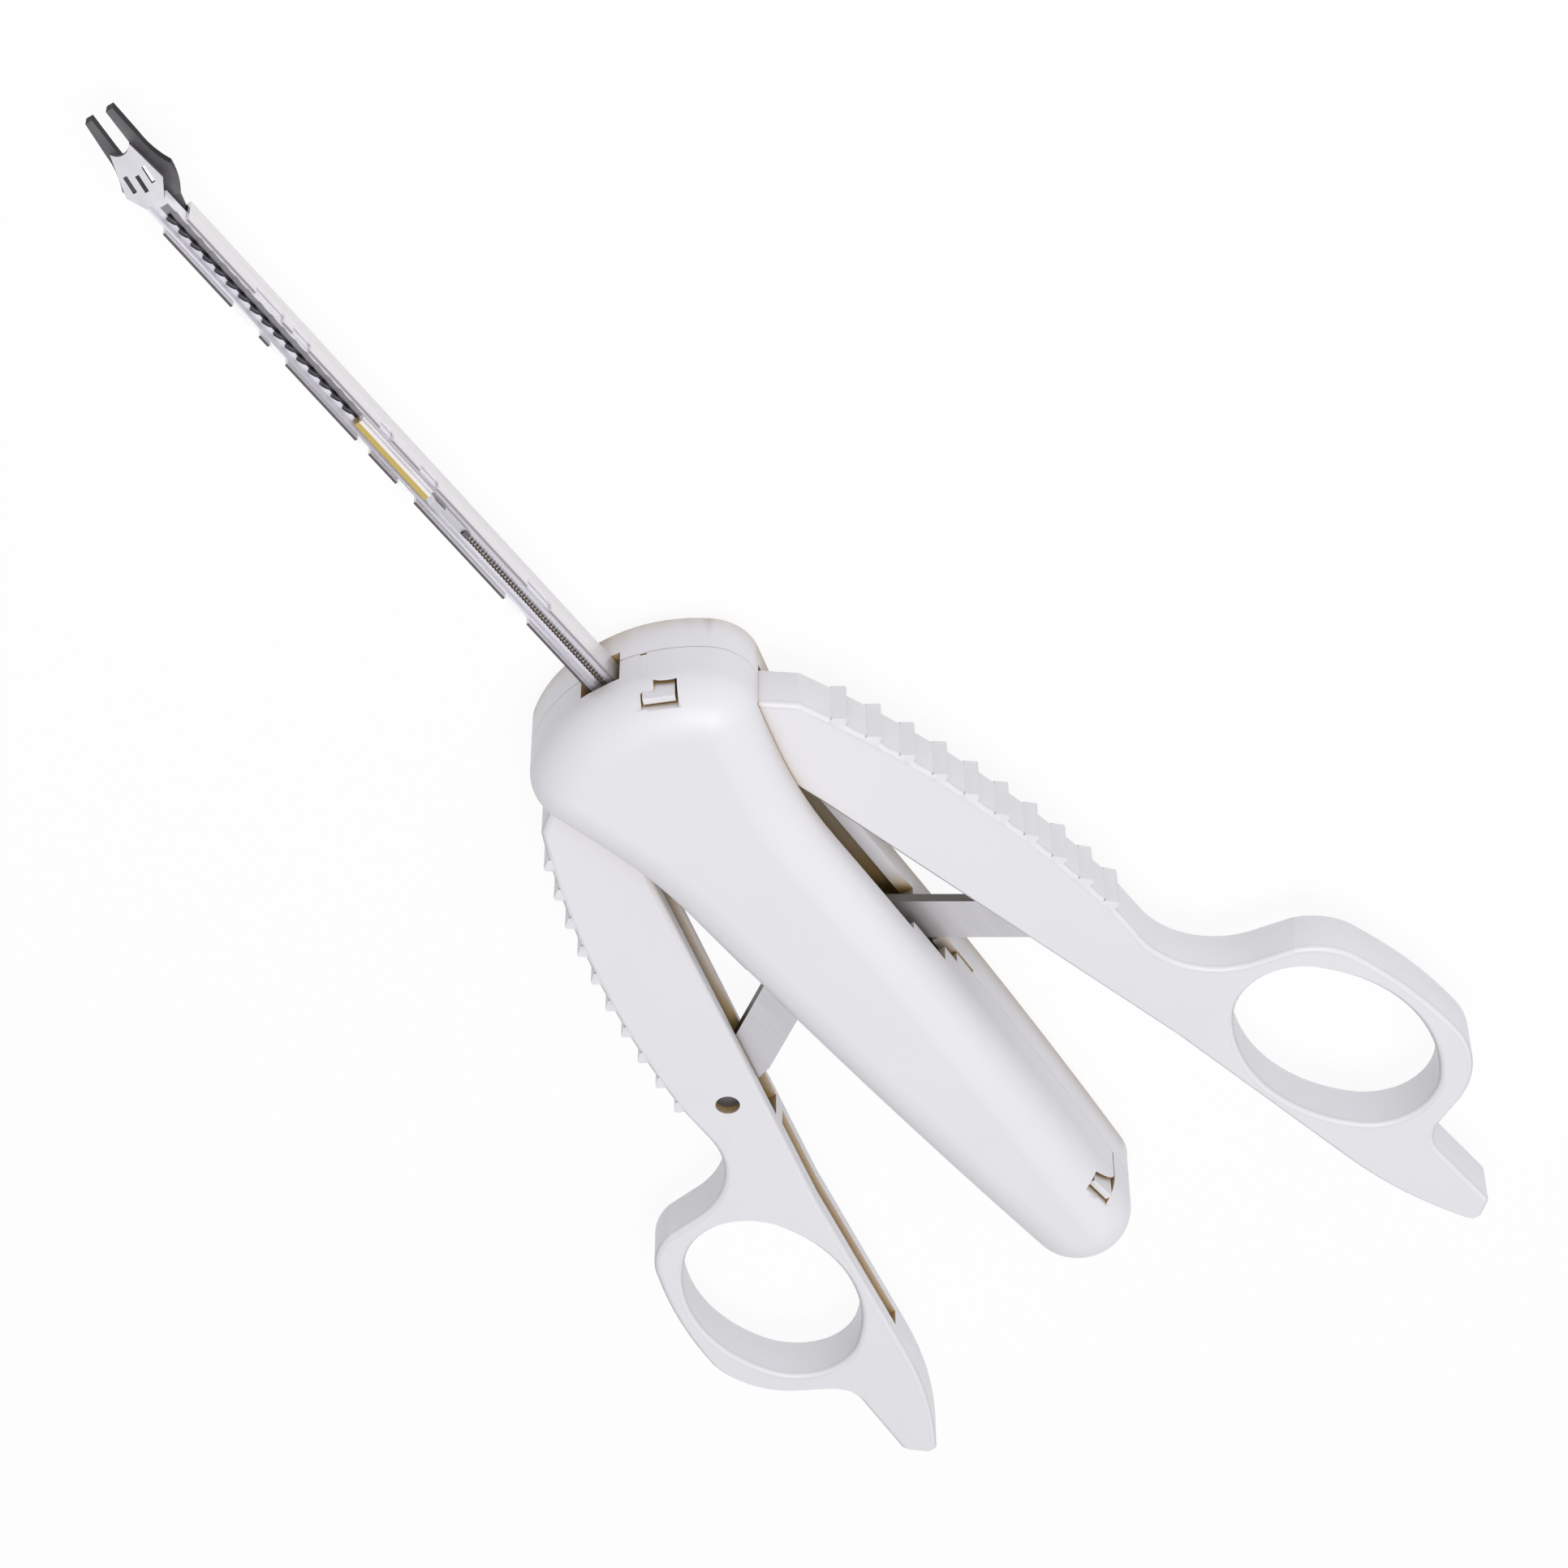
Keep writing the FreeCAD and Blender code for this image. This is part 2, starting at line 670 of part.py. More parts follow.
def add_ribs(body, label):
    """Grip ribs round the centre of the grip's arc."""
    front = Vector(value("grip_front_x"), value("grip_front_y"), 0)
    rear = Vector(value("grip_rear_x"), value("grip_rear_y"), 0)
    radius = value("grip_radius")
    chord = rear - front
    across = Vector(-chord.y, chord.x, 0).normalize()
    centre = (front + rear) * 0.5 + across * math.sqrt(radius ** 2 - (chord.Length / 2) ** 2)
    start = math.degrees(math.atan2(front.y - centre.y, front.x - centre.x) + value("rib_first") / radius)
    rib = new_sketch(body, label + "_rib", at=(str(centre.x), str(centre.y), "0"), turn=str(start))
    trace(rib, [
        ("grip_radius - rib_height", "-rib_width/2"),
        ("grip_radius", "-rib_width/2"),
        ("grip_radius + rib_height", "rib_width/6"),
        ("grip_radius + rib_height*0.9", "rib_width/3"),
        ("grip_radius", "rib_width/2"),
        ("grip_radius - rib_height", "rib_width/2"),
    ])
    pad(body, rib, "handle_thickness - handle_edge", symmetric=True)
    pattern = body.newObject("PartDesign::PolarPattern", label + "_ribs")
    pattern.Originals = [body.Tip]
    pattern.Axis = (rib, ["N_Axis"])
    pattern.Occurrences = int(value("rib_count"))
    pattern.Angle = math.degrees(value("rib_pitch*(rib_count - 1)") / radius)
    pattern.setExpression("Occurrences", bound("rib_count"))
    body.Tip = pattern
    doc.recompute()


# Links

def link(label, place):
    """Flat link from the handle's pin at its origin to the slider's pin on +X."""
    body = new_body(label)
    plate = new_sketch(body, label + "_plate", at=("0", "0", "link_gap"))
    trace(plate, [
        ("link_length", "-link_half_width"),
        ("link_length + link_half_width", "0", "link_half_width"),
        ("link_length", "link_half_width", "link_half_width"),
        ("0", "link_half_width"),
        ("-link_half_width", "0", "link_half_width"),
        ("-heel_back - link_half_width/2", "-link_half_width*0.866", "link_half_width"),
        ("-heel_back", "-heel_reach"),
        ("heel_start", "-link_half_width", "-heel_radius"),
    ])
    pad(body, plate, "link_thickness")
    holes = new_sketch(body, label + "_holes")
    ring(holes, "0", "0", "link_pin_radius + running_gap")
    ring(holes, "link_length", "0", "slider_pin_radius + open_pivot_gap")
    pocket(body, holes, "link_gap + link_thickness + wall", reverse=True)
    return part(body, label, place)


# Slider and the shaft

def drive_slider():
    """Block that carries the slider pin in a fork and takes the channel's rear end in a bore."""
    body = new_body("drive_slider")
    block = new_sketch(body, "slider_block")
    rectangle(block, "-slider_rear", "slider_front", "-slider_half_width", "slider_half_width")
    pad(body, block, "2*slider_half_height", symmetric=True)
    fillet(body, "slider_corners", "rail_thickness",
           lambda edge: abs(edge.tangentAt(edge.FirstParameter).z) > 0.99)
    fork = new_sketch(body, "slider_fork")
    rectangle(fork, "-slider_rear - wall", "fork_front", "-slider_half_width - wall", "slider_half_width + wall")
    pocket(body, fork, "2*(link_gap + link_thickness + side_gap)", symmetric=True)
    hole = new_sketch(body, "slider_pin_hole")
    ring(hole, "0", "0", "slider_pin_radius + press_gap")
    pocket(body, hole, "4*slider_half_height", symmetric=True)
    bore = new_sketch(body, "slider_bore", plane="YZ_Plane", at=("0", "-shaft_drop", "bore_rear"))
    rectangle(bore, "-(channel_width/2 + shaft_gap)", "channel_width/2 + shaft_gap",
              "-(channel_height/2 + shaft_gap)", "channel_height/2 + shaft_gap")
    pocket(body, bore, "slider_front", reverse=True)
    lug = new_sketch(body, "slider_lug", plane="XZ_Plane")
    rectangle(lug, "-slider_rear - lug_length", "-slider_rear + lug_thickness",
              "-slider_half_height", "-slider_half_height + lug_thickness")
    pad(body, lug, "2*lug_thickness", symmetric=True)
    return part(body, "drive_slider", Placement(Vector(slider_pin_x, 0, parting), Rotation()))


def crimp_channel():
    """Steel channel round the shaft, open upwards, with side windows."""
    body = new_body("crimp_channel")
    rear = f"({SLIDER_X} + bore_rear + slider_stroke - channel_stroke + running_gap)"
    section = new_sketch(body, "channel_section", plane="YZ_Plane", at=("0", "0", rear))
    half = "channel_width/2"
    trace(section, [
        (f"-{half}", "-channel_height/2"),
        (half, "-channel_height/2"),
        (half, "channel_height/2"),
        (f"{half} - channel_sheet", "channel_height/2"),
        (f"{half} - channel_sheet", "-channel_height/2 + channel_sheet"),
        (f"-{half} + channel_sheet", "-channel_height/2 + channel_sheet"),
        (f"-{half} + channel_sheet", "channel_height/2"),
        (f"-{half}", "channel_height/2"),
    ])
    pad(body, section, f"channel_front_x - {rear}")
    for name, (x, length) in shaft_windows.items():
        window = new_sketch(body, f"channel_window_{name}", plane="XZ_Plane")
        rectangle(window, str(x - length / 2), str(x + length / 2),
                  "channel_height/2 - shaft_window_height", "channel_height/2 + channel_sheet")
        pocket(body, window, "channel_width + wall", symmetric=True)
    return part(body, "crimp_channel", Placement(Vector(0, 0, shaft_z), Rotation()))


def cartridge_frame():
    """Tray that carries the clips, from the anchor to the nose."""
    body = new_body("cartridge_frame")
    section = new_sketch(body, "frame_section", plane="YZ_Plane", at=("0", "0", "frame_rear_x"))
    half = "(channel_width/2 - channel_sheet - shaft_gap)"
    trace(section, [
        (f"-{half}", "frame_floor_z"),
        (half, "frame_floor_z"),
        (half, "frame_top_z"),
        (f"{half} - frame_sheet", "frame_top_z"),
        (f"{half} - frame_sheet", "frame_floor_z + frame_sheet"),
        (f"-{half} + frame_sheet", "frame_floor_z + frame_sheet"),
        (f"-{half} + frame_sheet", "frame_top_z"),
        (f"-{half}", "frame_top_z"),
    ])
    pad(body, section, "frame_front_x - frame_rear_x")
    hole = new_sketch(body, "frame_hole")
    ring(hole, "(anchor_rear_x + anchor_front_x)/2", "0", "spigot_radius + press_gap")
    pocket(body, hole, "frame_top_z", reverse=True)
    return part(body, "cartridge_frame", Placement(Vector(0, 0, shaft_z), Rotation()))


def clip_cover():
    """Clear cover with a slit over the clips and tabs that show in the channel's windows."""
    body = new_body("clip_cover")
    half = "(channel_width/2 - channel_sheet - shaft_gap)"
    lid = new_sketch(body, "cover_lid", at=("0", "0", "frame_top_z"))
    rectangle(lid, "cover_rear_x", "frame_front_x", f"-{half}", half)
    pad(body, lid, "cover_thickness")
    for name, (x, length) in shaft_windows.items():
        tab = new_sketch(body, f"cover_tab_{name}", at=("0", "0", "frame_top_z"))
        inset = value("channel_stroke + side_gap")
        rectangle(tab, str(x - length / 2 + inset), str(x + length / 2 - value("side_gap")),
                  f"-{half} - cover_tab_reach", f"{half} + cover_tab_reach")
        pad(body, tab, "cover_thickness")
    slit = new_sketch(body, "cover_slit_outline", at=("0", "0", "frame_top_z"))
    rectangle(slit, "cover_rear_x + wall", "frame_front_x - wall", "-cover_slit/2", "cover_slit/2")
    pocket(body, slit, "cover_thickness", reverse=True)
    return part(body, "clip_cover", Placement(Vector(0, 0, shaft_z), Rotation()))


def anchor_block():
    """Block under the upper shell that holds the cartridge frame by a spigot."""
    body = new_body("anchor_block")
    half = "(channel_width/2 - channel_sheet - shaft_gap - frame_sheet - shaft_gap)"
    foot = new_sketch(body, "anchor_foot", at=("0", "0", "frame_floor_z + frame_sheet"))
    rectangle(foot, "anchor_rear_x", "anchor_front_x", f"-{half}", half)
    pad(body, foot, "body_height/2 - wall + shaft_drop - frame_floor_z - frame_sheet - running_gap")
    spigot = new_sketch(body, "anchor_spigot", at=("0", "0", "frame_floor_z"))
    ring(spigot, "(anchor_rear_x + anchor_front_x)/2", "0", "spigot_radius")
    pad(body, spigot, "frame_sheet + wall")
    return part(body, "anchor_block", Placement(Vector(0, 0, shaft_z), Rotation()))


# Jaws

def profile_blade(label, plan, side, place, vents=None):
    """Bent flat piece: its plan outline, cut by the band that it follows from the side."""
    body = new_body(label + "_plan")
    outline = new_sketch(body, label + "_outline")
    trace(outline, plan)
    pad(body, outline, "4*channel_height", symmetric=True)
    if vents:
        vents(body)
    band = new_body(label + "_side")
    face = new_sketch(band, label + "_band", plane="XZ_Plane")
    trace(face, side)
    pad(band, face, "4*channel_width", symmetric=True)
    blade = doc.addObject("Part::Common", label)
    blade.Base = body
    blade.Tool = band
    doc.recompute()
    return part(blade, label, place)


def jaw(label, side):
    """Jaw on the side given by its sign: a thin shank, a cam bulge and a drooping prong."""
    flip = "" if side > 0 else "-"
    top = "(shank_bottom_z + shank_thickness)"
    plan = [
        ("jaw_hinge_x", "shank_inner"),
        ("jaw_waist_x", "jaw_tip_gap"),
        ("jaw_tip_x", "jaw_tip_gap"),
        ("jaw_tip_x", "jaw_tip_half", "(jaw_tip_half - jaw_tip_gap)*0.55"),
        ("jaw_waist_x", "jaw_waist_half"),
        ("bulge_x", "bulge_half", "-jaw_waist_radius"),
        ("cam_front_x", "cam_half", "bulge_radius"),
        ("cam_x", "shank_half"),
        ("jaw_hinge_x", "shank_half"),
    ]
    if side < 0:
        mirrored = []
        for index in range(len(plan)):
            spot = plan[-index - 1]
            arc = plan[-index] if index else plan[0]
            entry = (spot[0], "-" + spot[1])
            mirrored.append(entry + (arc[2],) if len(arc) == 3 else entry)
        plan = mirrored
    band = [
        ("jaw_hinge_x", "shank_bottom_z"),
        ("jaw_bend_x", "shank_bottom_z"),
        ("jaw_tip_x", "-jaw_tip_drop - jaw_tip_thickness/2"),
        ("jaw_tip_x", "-jaw_tip_drop + jaw_tip_thickness/2"),
        ("jaw_bend_x", top),
        ("jaw_hinge_x", top),
    ]
    return profile_blade(label, plan, band, Placement(Vector(0, 0, shaft_z), Rotation()))


def nose_plate():
    """Sheet hood over the jaws, with three slots, that slopes down to the crotch of the jaws."""
    plan = [
        ("frame_front_x", "-shank_half"),
        ("bulge_x", "-nose_plate_half"),
        ("nose_plate_front_x", "-crotch_radius"),
        ("nose_plate_front_x", "crotch_radius", "-crotch_radius*1.2"),
        ("bulge_x", "nose_plate_half"),
        ("frame_front_x", "shank_half"),
    ]
    top = "(frame_top_z + cover_thickness)"
    band = [
        ("frame_front_x", f"{top} - nose_plate_sheet"),
        ("nose_plate_front_x", f"{top} - nose_plate_sheet - nose_plate_fall"),
        ("nose_plate_front_x", f"{top} - nose_plate_fall"),
        ("frame_front_x", top),
    ]

    def vents(body):
        slots = new_sketch(body, "nose_plate_slots")
        for row, shift in enumerate(("0", "vent_width", "0")):
            y = f"vent_pitch*{row - 1}"
            rear = f"bulge_x - {shift}"
            rectangle(slots, rear, f"{rear} + vent_length - wall*0.5",
                      f"{y} - vent_width/2", f"{y} + vent_width/2")
        pocket(body, slots, "8*channel_height", symmetric=True)

    return profile_blade("nose_plate", plan, band, Placement(Vector(0, 0, shaft_z), Rotation()), vents)


def jaw_root():
    """Fixed rear end of the jaw leaf, clamped under the cartridge frame."""
    body = new_body("jaw_root")
    leaf = new_sketch(body, "jaw_root_leaf", at=("0", "0", "shank_bottom_z"))
    rectangle(leaf, "jaw_root_x", "jaw_hinge_x - shaft_gap", "-shank_half", "shank_half")
    pad(body, leaf, "shank_thickness")
    return part(body, "jaw_root", Placement(Vector(0, 0, shaft_z), Rotation()))


# Feed

def feed_bar():
    body = new_body("feed_bar")
    strip = new_sketch(body, "feed_strip", at=("0", "0", "feed_bottom_z"))
    trace(strip, [
        ("feed_rear_x", "-feed_width/2"),
        ("feed_front_x - feed_width", "-feed_width/2"),
        ("feed_front_x", "-feed_width/4"),
        ("feed_front_x", "feed_width/4"),
        ("feed_front_x - feed_width", "feed_width/2"),
        ("feed_rear_x", "feed_width/2"),
    ])
    pad(body, strip, "feed_thickness")
    return part(body, "feed_bar", Placement(Vector(0, 0, shaft_z), Rotation()))


def clips():
    """Row of open clips, each a bent wire with its crown to the rear."""
    body = new_body("clips")
    row = new_sketch(body, "clip_outline", at=("clip_rear_x", "0", "frame_floor_z + frame_sheet + clip_lift"))
    half = "clip_width/2"
    trace(row, [
        ("0", "clip_wire*0.4"),
        ("0", "-clip_wire*0.4"),
        ("clip_length", f"-({half})"),
        ("clip_length", f"-({half} - clip_wire)"),
        ("clip_wire*1.3", "0"),
        ("clip_length", f"{half} - clip_wire"),
        ("clip_length", half),
    ])
    pad(body, row, "clip_wire")
    pattern = body.newObject("PartDesign::LinearPattern", "clip_row")
    pattern.Originals = [body.Tip]
    pattern.Direction = (row, ["H_Axis"])
    pattern.Occurrences = int(value("clip_count"))
    pattern.setExpression("Occurrences", bound("clip_count"))
    bind(pattern, Length="clip_pitch*(clip_count - 1)")
    body.Tip = pattern
    doc.recompute()
    return part(body, "clips", Placement(Vector(0, 0, shaft_z), Rotation()))


def clip_follower():
    body = new_body("clip_follower")
    front = "clip_rear_x - shaft_gap"
    rear = "clip_rear_x - shaft_gap - follower_length"
    base = new_sketch(body, "follower_base", at=("0", "0", "frame_floor_z + frame_sheet + clip_lift"))
    rectangle(base, rear, front, "-follower_width/2", "follower_width/2")
    pad(body, base, "frame_top_z - frame_floor_z - frame_sheet - 2*clip_lift")
    rib = new_sketch(body, "follower_rib", at=("0", "0", "frame_floor_z + frame_sheet + clip_lift"))
    rectangle(rib, rear, front, "-cover_slit/2 + shaft_gap", "cover_slit/2 - shaft_gap")
    pad(body, rib, "frame_top_z + cover_thickness - frame_floor_z - frame_sheet - clip_lift")
    return part(body, "clip_follower", Placement(Vector(0, 0, shaft_z), Rotation()))


def follower_latch():
    """Steel latch behind the follower, with a raised hook and a stem to the spring button."""
    body = new_body("follower_latch")
    rear = "(clip_rear_x - shaft_gap - follower_length)"
    hook = new_sketch(body, "latch_hook", plane="XZ_Plane")
    low = "frame_floor_z + frame_sheet + clip_lift"
    trace(hook, [
        ("button_x", f"{low} + clip_wire/2"),
        (f"{rear} - latch_length", f"{low} + clip_wire/2"),
        (f"{rear} - latch_length", low),
        (rear, low),
        (rear, "frame_top_z"),
        (f"{rear} - latch_length/3", "frame_top_z + cover_thickness"),
        (f"{rear} - latch_length", "frame_top_z + cover_thickness - clip_lift"),
        (f"{rear} - latch_length", f"{low} + clip_wire"),
        ("button_x", f"{low} + clip_wire"),
    ])
    pad(body, hook, "latch_width", symmetric=True)
    return part(body, "follower_latch", Placement(Vector(0, 0, shaft_z), Rotation()))


along_x = Rotation(Y_AXIS, 90)
over = Rotation(X_AXIS, 180)
hand_y = value("pivot_y + link_pin_y")
link_angle = -math.degrees(math.asin(hand_y / value("link_length")))
turn = Rotation(Z_AXIS, link_angle)
spring_level = value("frame_floor_z + frame_sheet + clip_lift + button_radius")

shell("upper_body_shell", True)
shell("lower_body_shell", False)
handle("left_handle", Placement(Vector(0, value("pivot_y"), parting), Rotation()))
handle("right_handle", Placement(Vector(0, -value("pivot_y"), parting), over))
link("left_link", Placement(Vector(value("link_pin_x"), hand_y, parting), turn))
link("right_link", Placement(Vector(value("link_pin_x"), -hand_y, parting), over.multiply(turn)))
pin_length = "2*(body_height/2 - wall - 2*side_gap)"
for name, side in (("left", 1), ("right", -1)):
    cylinder(f"{name}_pivot_pin", "pivot_pin_radius", pin_length,
             Placement(Vector(0, side * value("pivot_y"), parting - value(pin_length) / 2), Rotation()))
    stand = Rotation() if side > 0 else over
    foot = side * value("handle_thickness/2 - handle_wall/2 - 0.1")
    cylinder(f"{name}_link_pin", "link_pin_radius", "handle_thickness - handle_wall/2 - link_pin_recess",
             Placement(Vector(value("link_pin_x"), side * hand_y, parting - foot), stand))
drive_slider()
cylinder("slider_pin", "slider_pin_radius", "2*slider_half_height - side_gap",
         Placement(Vector(slider_pin_x, 0, parting - value("slider_half_height - side_gap/2")), Rotation()))
crimp_channel()
cartridge_frame()
clip_cover()
anchor_block()
jaw("left_jaw", 1)
jaw("right_jaw", -1)
nose_plate()
jaw_root()
feed_bar()
clips()
clip_follower()
follower_latch()
cylinder("spring_button", "button_radius", "latch_width",
         Placement(Vector(value("button_x - latch_width"), 0, shaft_z + spring_level), along_x))
cylinder("follower_spring", "follower_spring_radius", "button_x - latch_width - follower_spring_rear_x - shaft_gap",
         Placement(Vector(value("follower_spring_rear_x"), 0, shaft_z + spring_level), along_x))
spring_rear = value("spring_post_x + spring_post_radius + side_gap")
cylinder("return_spring", "spring_radius",
         SLIDER_X + " - slider_rear - lug_length - spring_post_x - spring_post_radius - 2*side_gap",
         Placement(Vector(spring_rear, 0, parting - value("body_height/2 - wall - spring_radius - side_gap")), along_x))

doc.recompute()
faults = [thing.Name for thing in doc.Objects
          if "Invalid" in thing.State or "Error" in thing.State]
if faults:
    raise RuntimeError("failed: " + ", ".join(faults))
os.makedirs("parts", exist_ok=True)
for thing in parts:
    if thing.Shape.isNull() or not thing.Shape.isValid():
        raise RuntimeError("no valid shape: " + thing.Label)
for thing in parts:
    thing.Shape.exportStep(f"parts/{thing.Label}.step")
    box = thing.Shape.BoundBox
    print(f"{thing.Label}: {len(thing.Shape.Solids)} solid(s), {thing.Shape.Volume:.1f} mm3,"
          f" x {box.XMin:.1f}..{box.XMax:.1f} y {box.YMin:.1f}..{box.YMax:.1f} z {box.ZMin:.1f}..{box.ZMax:.1f}")
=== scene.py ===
import json
import math
import bpy
import bmesh
from mathutils import Matrix, Vector


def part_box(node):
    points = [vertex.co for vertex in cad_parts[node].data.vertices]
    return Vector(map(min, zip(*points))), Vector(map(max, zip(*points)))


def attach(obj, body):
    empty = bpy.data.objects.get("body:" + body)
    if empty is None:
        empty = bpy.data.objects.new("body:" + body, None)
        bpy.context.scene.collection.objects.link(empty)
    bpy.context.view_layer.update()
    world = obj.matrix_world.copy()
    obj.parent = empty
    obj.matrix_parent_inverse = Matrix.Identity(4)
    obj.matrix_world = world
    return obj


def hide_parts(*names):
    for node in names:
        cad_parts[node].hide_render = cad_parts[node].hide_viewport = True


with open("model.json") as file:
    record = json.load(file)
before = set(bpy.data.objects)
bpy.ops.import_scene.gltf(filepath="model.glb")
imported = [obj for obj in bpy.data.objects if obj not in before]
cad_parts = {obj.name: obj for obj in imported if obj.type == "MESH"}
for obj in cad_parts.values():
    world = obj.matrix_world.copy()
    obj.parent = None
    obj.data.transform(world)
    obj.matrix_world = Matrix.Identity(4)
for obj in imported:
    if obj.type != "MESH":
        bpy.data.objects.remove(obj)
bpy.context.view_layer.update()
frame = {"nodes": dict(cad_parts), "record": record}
print("frame loaded:", len(frame["nodes"]), "nodes")

mm = 0.001
farAway = 1.0


def addNode(tree, kind, place=(0, 0), **settings):
    node = tree.nodes.new(kind)
    node.location = place
    for name, setting in settings.items():
        setattr(node, name, setting)
    return node


def join(tree, *pairs):
    for source, target in pairs:
        tree.links.new(source, target)


def setSockets(node, values):
    for name, setting in values.items():
        node.inputs[name].default_value = setting


def addObject(name, data):
    thing = bpy.data.objects.new(name, data)
    bpy.context.scene.collection.objects.link(thing)
    return thing


def settle(thing, name):
    # keeps what the modifiers of a thing make as a plain mesh object in its place
    graph = bpy.context.evaluated_depsgraph_get()
    mesh = bpy.data.meshes.new_from_object(thing.evaluated_get(graph), depsgraph=graph)
    bpy.data.objects.remove(thing)
    return addObject(name, mesh)


def newGroup(name, given, results):
    group = bpy.data.node_groups.new(name, "ShaderNodeTree")
    for label, preset in given:
        socket = group.interface.new_socket(label, in_out="INPUT", socket_type="NodeSocketFloat")
        socket.default_value = preset
    for label in results:
        group.interface.new_socket(label, in_out="OUTPUT", socket_type="NodeSocketFloat")
    inside = addNode(group, "NodeGroupInput", (-900, 0))
    outside = addNode(group, "NodeGroupOutput", (600, 0))
    return group, inside.outputs, outside.inputs


def grainGroup():
    # fine moulded texture: a height for the bump, and soft clouds for colour and roughness
    group, given, results = newGroup(
        "surfaceGrain", (("Fine Scale", 3000.0), ("Cloud Scale", 60.0), ("Cloud Share", 0.3)),
        ("Height", "Clouds"))
    where = addNode(group, "ShaderNodeTexCoord", (-700, -200))
    fine = addNode(group, "ShaderNodeTexNoise", (-450, 100))
    clouds = addNode(group, "ShaderNodeTexNoise", (-450, -200))
    setSockets(fine, {"Detail": 2.0, "Roughness": 0.6})
    setSockets(clouds, {"Detail": 3.0, "Roughness": 0.5})
    blend = addNode(group, "ShaderNodeMix", (100, 0), data_type="FLOAT")
    join(group,
         (where.outputs["Object"], fine.inputs["Vector"]),
         (where.outputs["Object"], clouds.inputs["Vector"]),
         (given["Fine Scale"], fine.inputs["Scale"]),
         (given["Cloud Scale"], clouds.inputs["Scale"]),
         (given["Cloud Share"], blend.inputs["Factor"]),
         (fine.outputs["Fac"], blend.inputs["A"]),
         (clouds.outputs["Fac"], blend.inputs["B"]),
         (blend.outputs["Result"], results["Height"]),
         (clouds.outputs["Fac"], results["Clouds"]))
    return group


def streakGroup():
    # long soft streaks along X, as drawn or polished strip has
    middle = 0.5
    group, given, results = newGroup(
        "drawnStreaks", (("Along", 12.0), ("Across", 900.0), ("Contrast", 0.5)), ("Streaks",))
    where = addNode(group, "ShaderNodeTexCoord", (-900, -250))
    scales = addNode(group, "ShaderNodeCombineXYZ", (-650, 0))
    stretch = addNode(group, "ShaderNodeVectorMath", (-450, -100), operation="MULTIPLY")
    noise = addNode(group, "ShaderNodeTexNoise", (-250, -100))
    setSockets(noise, {"Scale": 1.0, "Detail": 4.0, "Roughness": 0.55})
    centred = addNode(group, "ShaderNodeMath", (0, -100), operation="SUBTRACT")
    centred.inputs[1].default_value = middle
    gain = addNode(group, "ShaderNodeMath", (180, -100), operation="MULTIPLY")
    back = addNode(group, "ShaderNodeMath", (360, -100), operation="ADD", use_clamp=True)
    back.inputs[1].default_value = middle
    join(group,
         (given["Along"], scales.inputs["X"]),
         (given["Across"], scales.inputs["Y"]),
         (given["Across"], scales.inputs["Z"]),
         (where.outputs["Object"], stretch.inputs[0]),
         (scales.outputs["Vector"], stretch.inputs[1]),
         (stretch.outputs["Vector"], noise.inputs["Vector"]),
         (noise.outputs["Fac"], centred.inputs[0]),
         (centred.outputs["Value"], gain.inputs[0]),
         (given["Contrast"], gain.inputs[1]),
         (gain.outputs["Value"], back.inputs[0]),
         (back.outputs["Value"], results["Streaks"]))
    return group


surfaceGrain = grainGroup()
drawnStreaks = streakGroup()
print("shader groups built")


def newMaterial(name, constants):
    material = bpy.data.materials.new(name)
    material.use_nodes = True
    tree = material.node_tree
    shader = tree.nodes["Principled BSDF"]
    setSockets(shader, constants)
    return material, tree, shader


def useGroup(tree, group, values, place=(-700, 0)):
    node = addNode(tree, "ShaderNodeGroup", place, node_tree=group)
    setSockets(node, values)
    return node.outputs


def useGrain(tree, look):
    return useGroup(tree, surfaceGrain, {
        "Fine Scale": look["grainScale"], "Cloud Scale": look["cloudScale"], "Cloud Share": look["cloudShare"]})


def mapValue(tree, source, low, high, place):
    node = addNode(tree, "ShaderNodeMapRange", place)
    setSockets(node, {"To Min": low, "To Max": high})
    join(tree, (source, node.inputs["Value"]))
    return node.outputs["Result"]


def softStep(tree, source, low, high, place):
    node = addNode(tree, "ShaderNodeMapRange", place, interpolation_type="SMOOTHSTEP")
    setSockets(node, {"From Min": low, "From Max": high})
    join(tree, (source, node.inputs["Value"]))
    return node.outputs["Result"]


def mixColours(tree, share, first, second, place):
    # each of the two is a fixed colour or what another node puts out
    node = addNode(tree, "ShaderNodeMix", place, data_type="RGBA")
    join(tree, (share, node.inputs["Factor"]))
    for side, colour in (("A", first), ("B", second)):
        if isinstance(colour, tuple):
            node.inputs[side].default_value = (*colour, 1)
        else:
            join(tree, (colour, node.inputs[side]))
    return node.outputs["Result"]


def bumpFrom(tree, shader, height, strength, distance, place=(-300, -400)):
    node = addNode(tree, "ShaderNodeBump", place)
    setSockets(node, {"Strength": strength, "Distance": distance})
    join(tree, (height, node.inputs["Height"]), (node.outputs["Normal"], shader.inputs["Normal"]))


def paintNookShade(tree, colour, look, place):
    # painted shade: slots, windows and narrow gaps, found by ambient occlusion, are painted a warm brown, for
    # the dim warm light that bounces between pale walls
    x, y = place
    nook = addNode(tree, "ShaderNodeAmbientOcclusion", place, samples=look["nookSamples"])
    setSockets(nook, {"Distance": look["nookReach"]})
    share = softStep(tree, nook.outputs["AO"], look["nookFull"], look["nookNone"], (x + 180, y))
    return mixColours(tree, share, look["nookShadeColour"], colour, (x + 360, y))


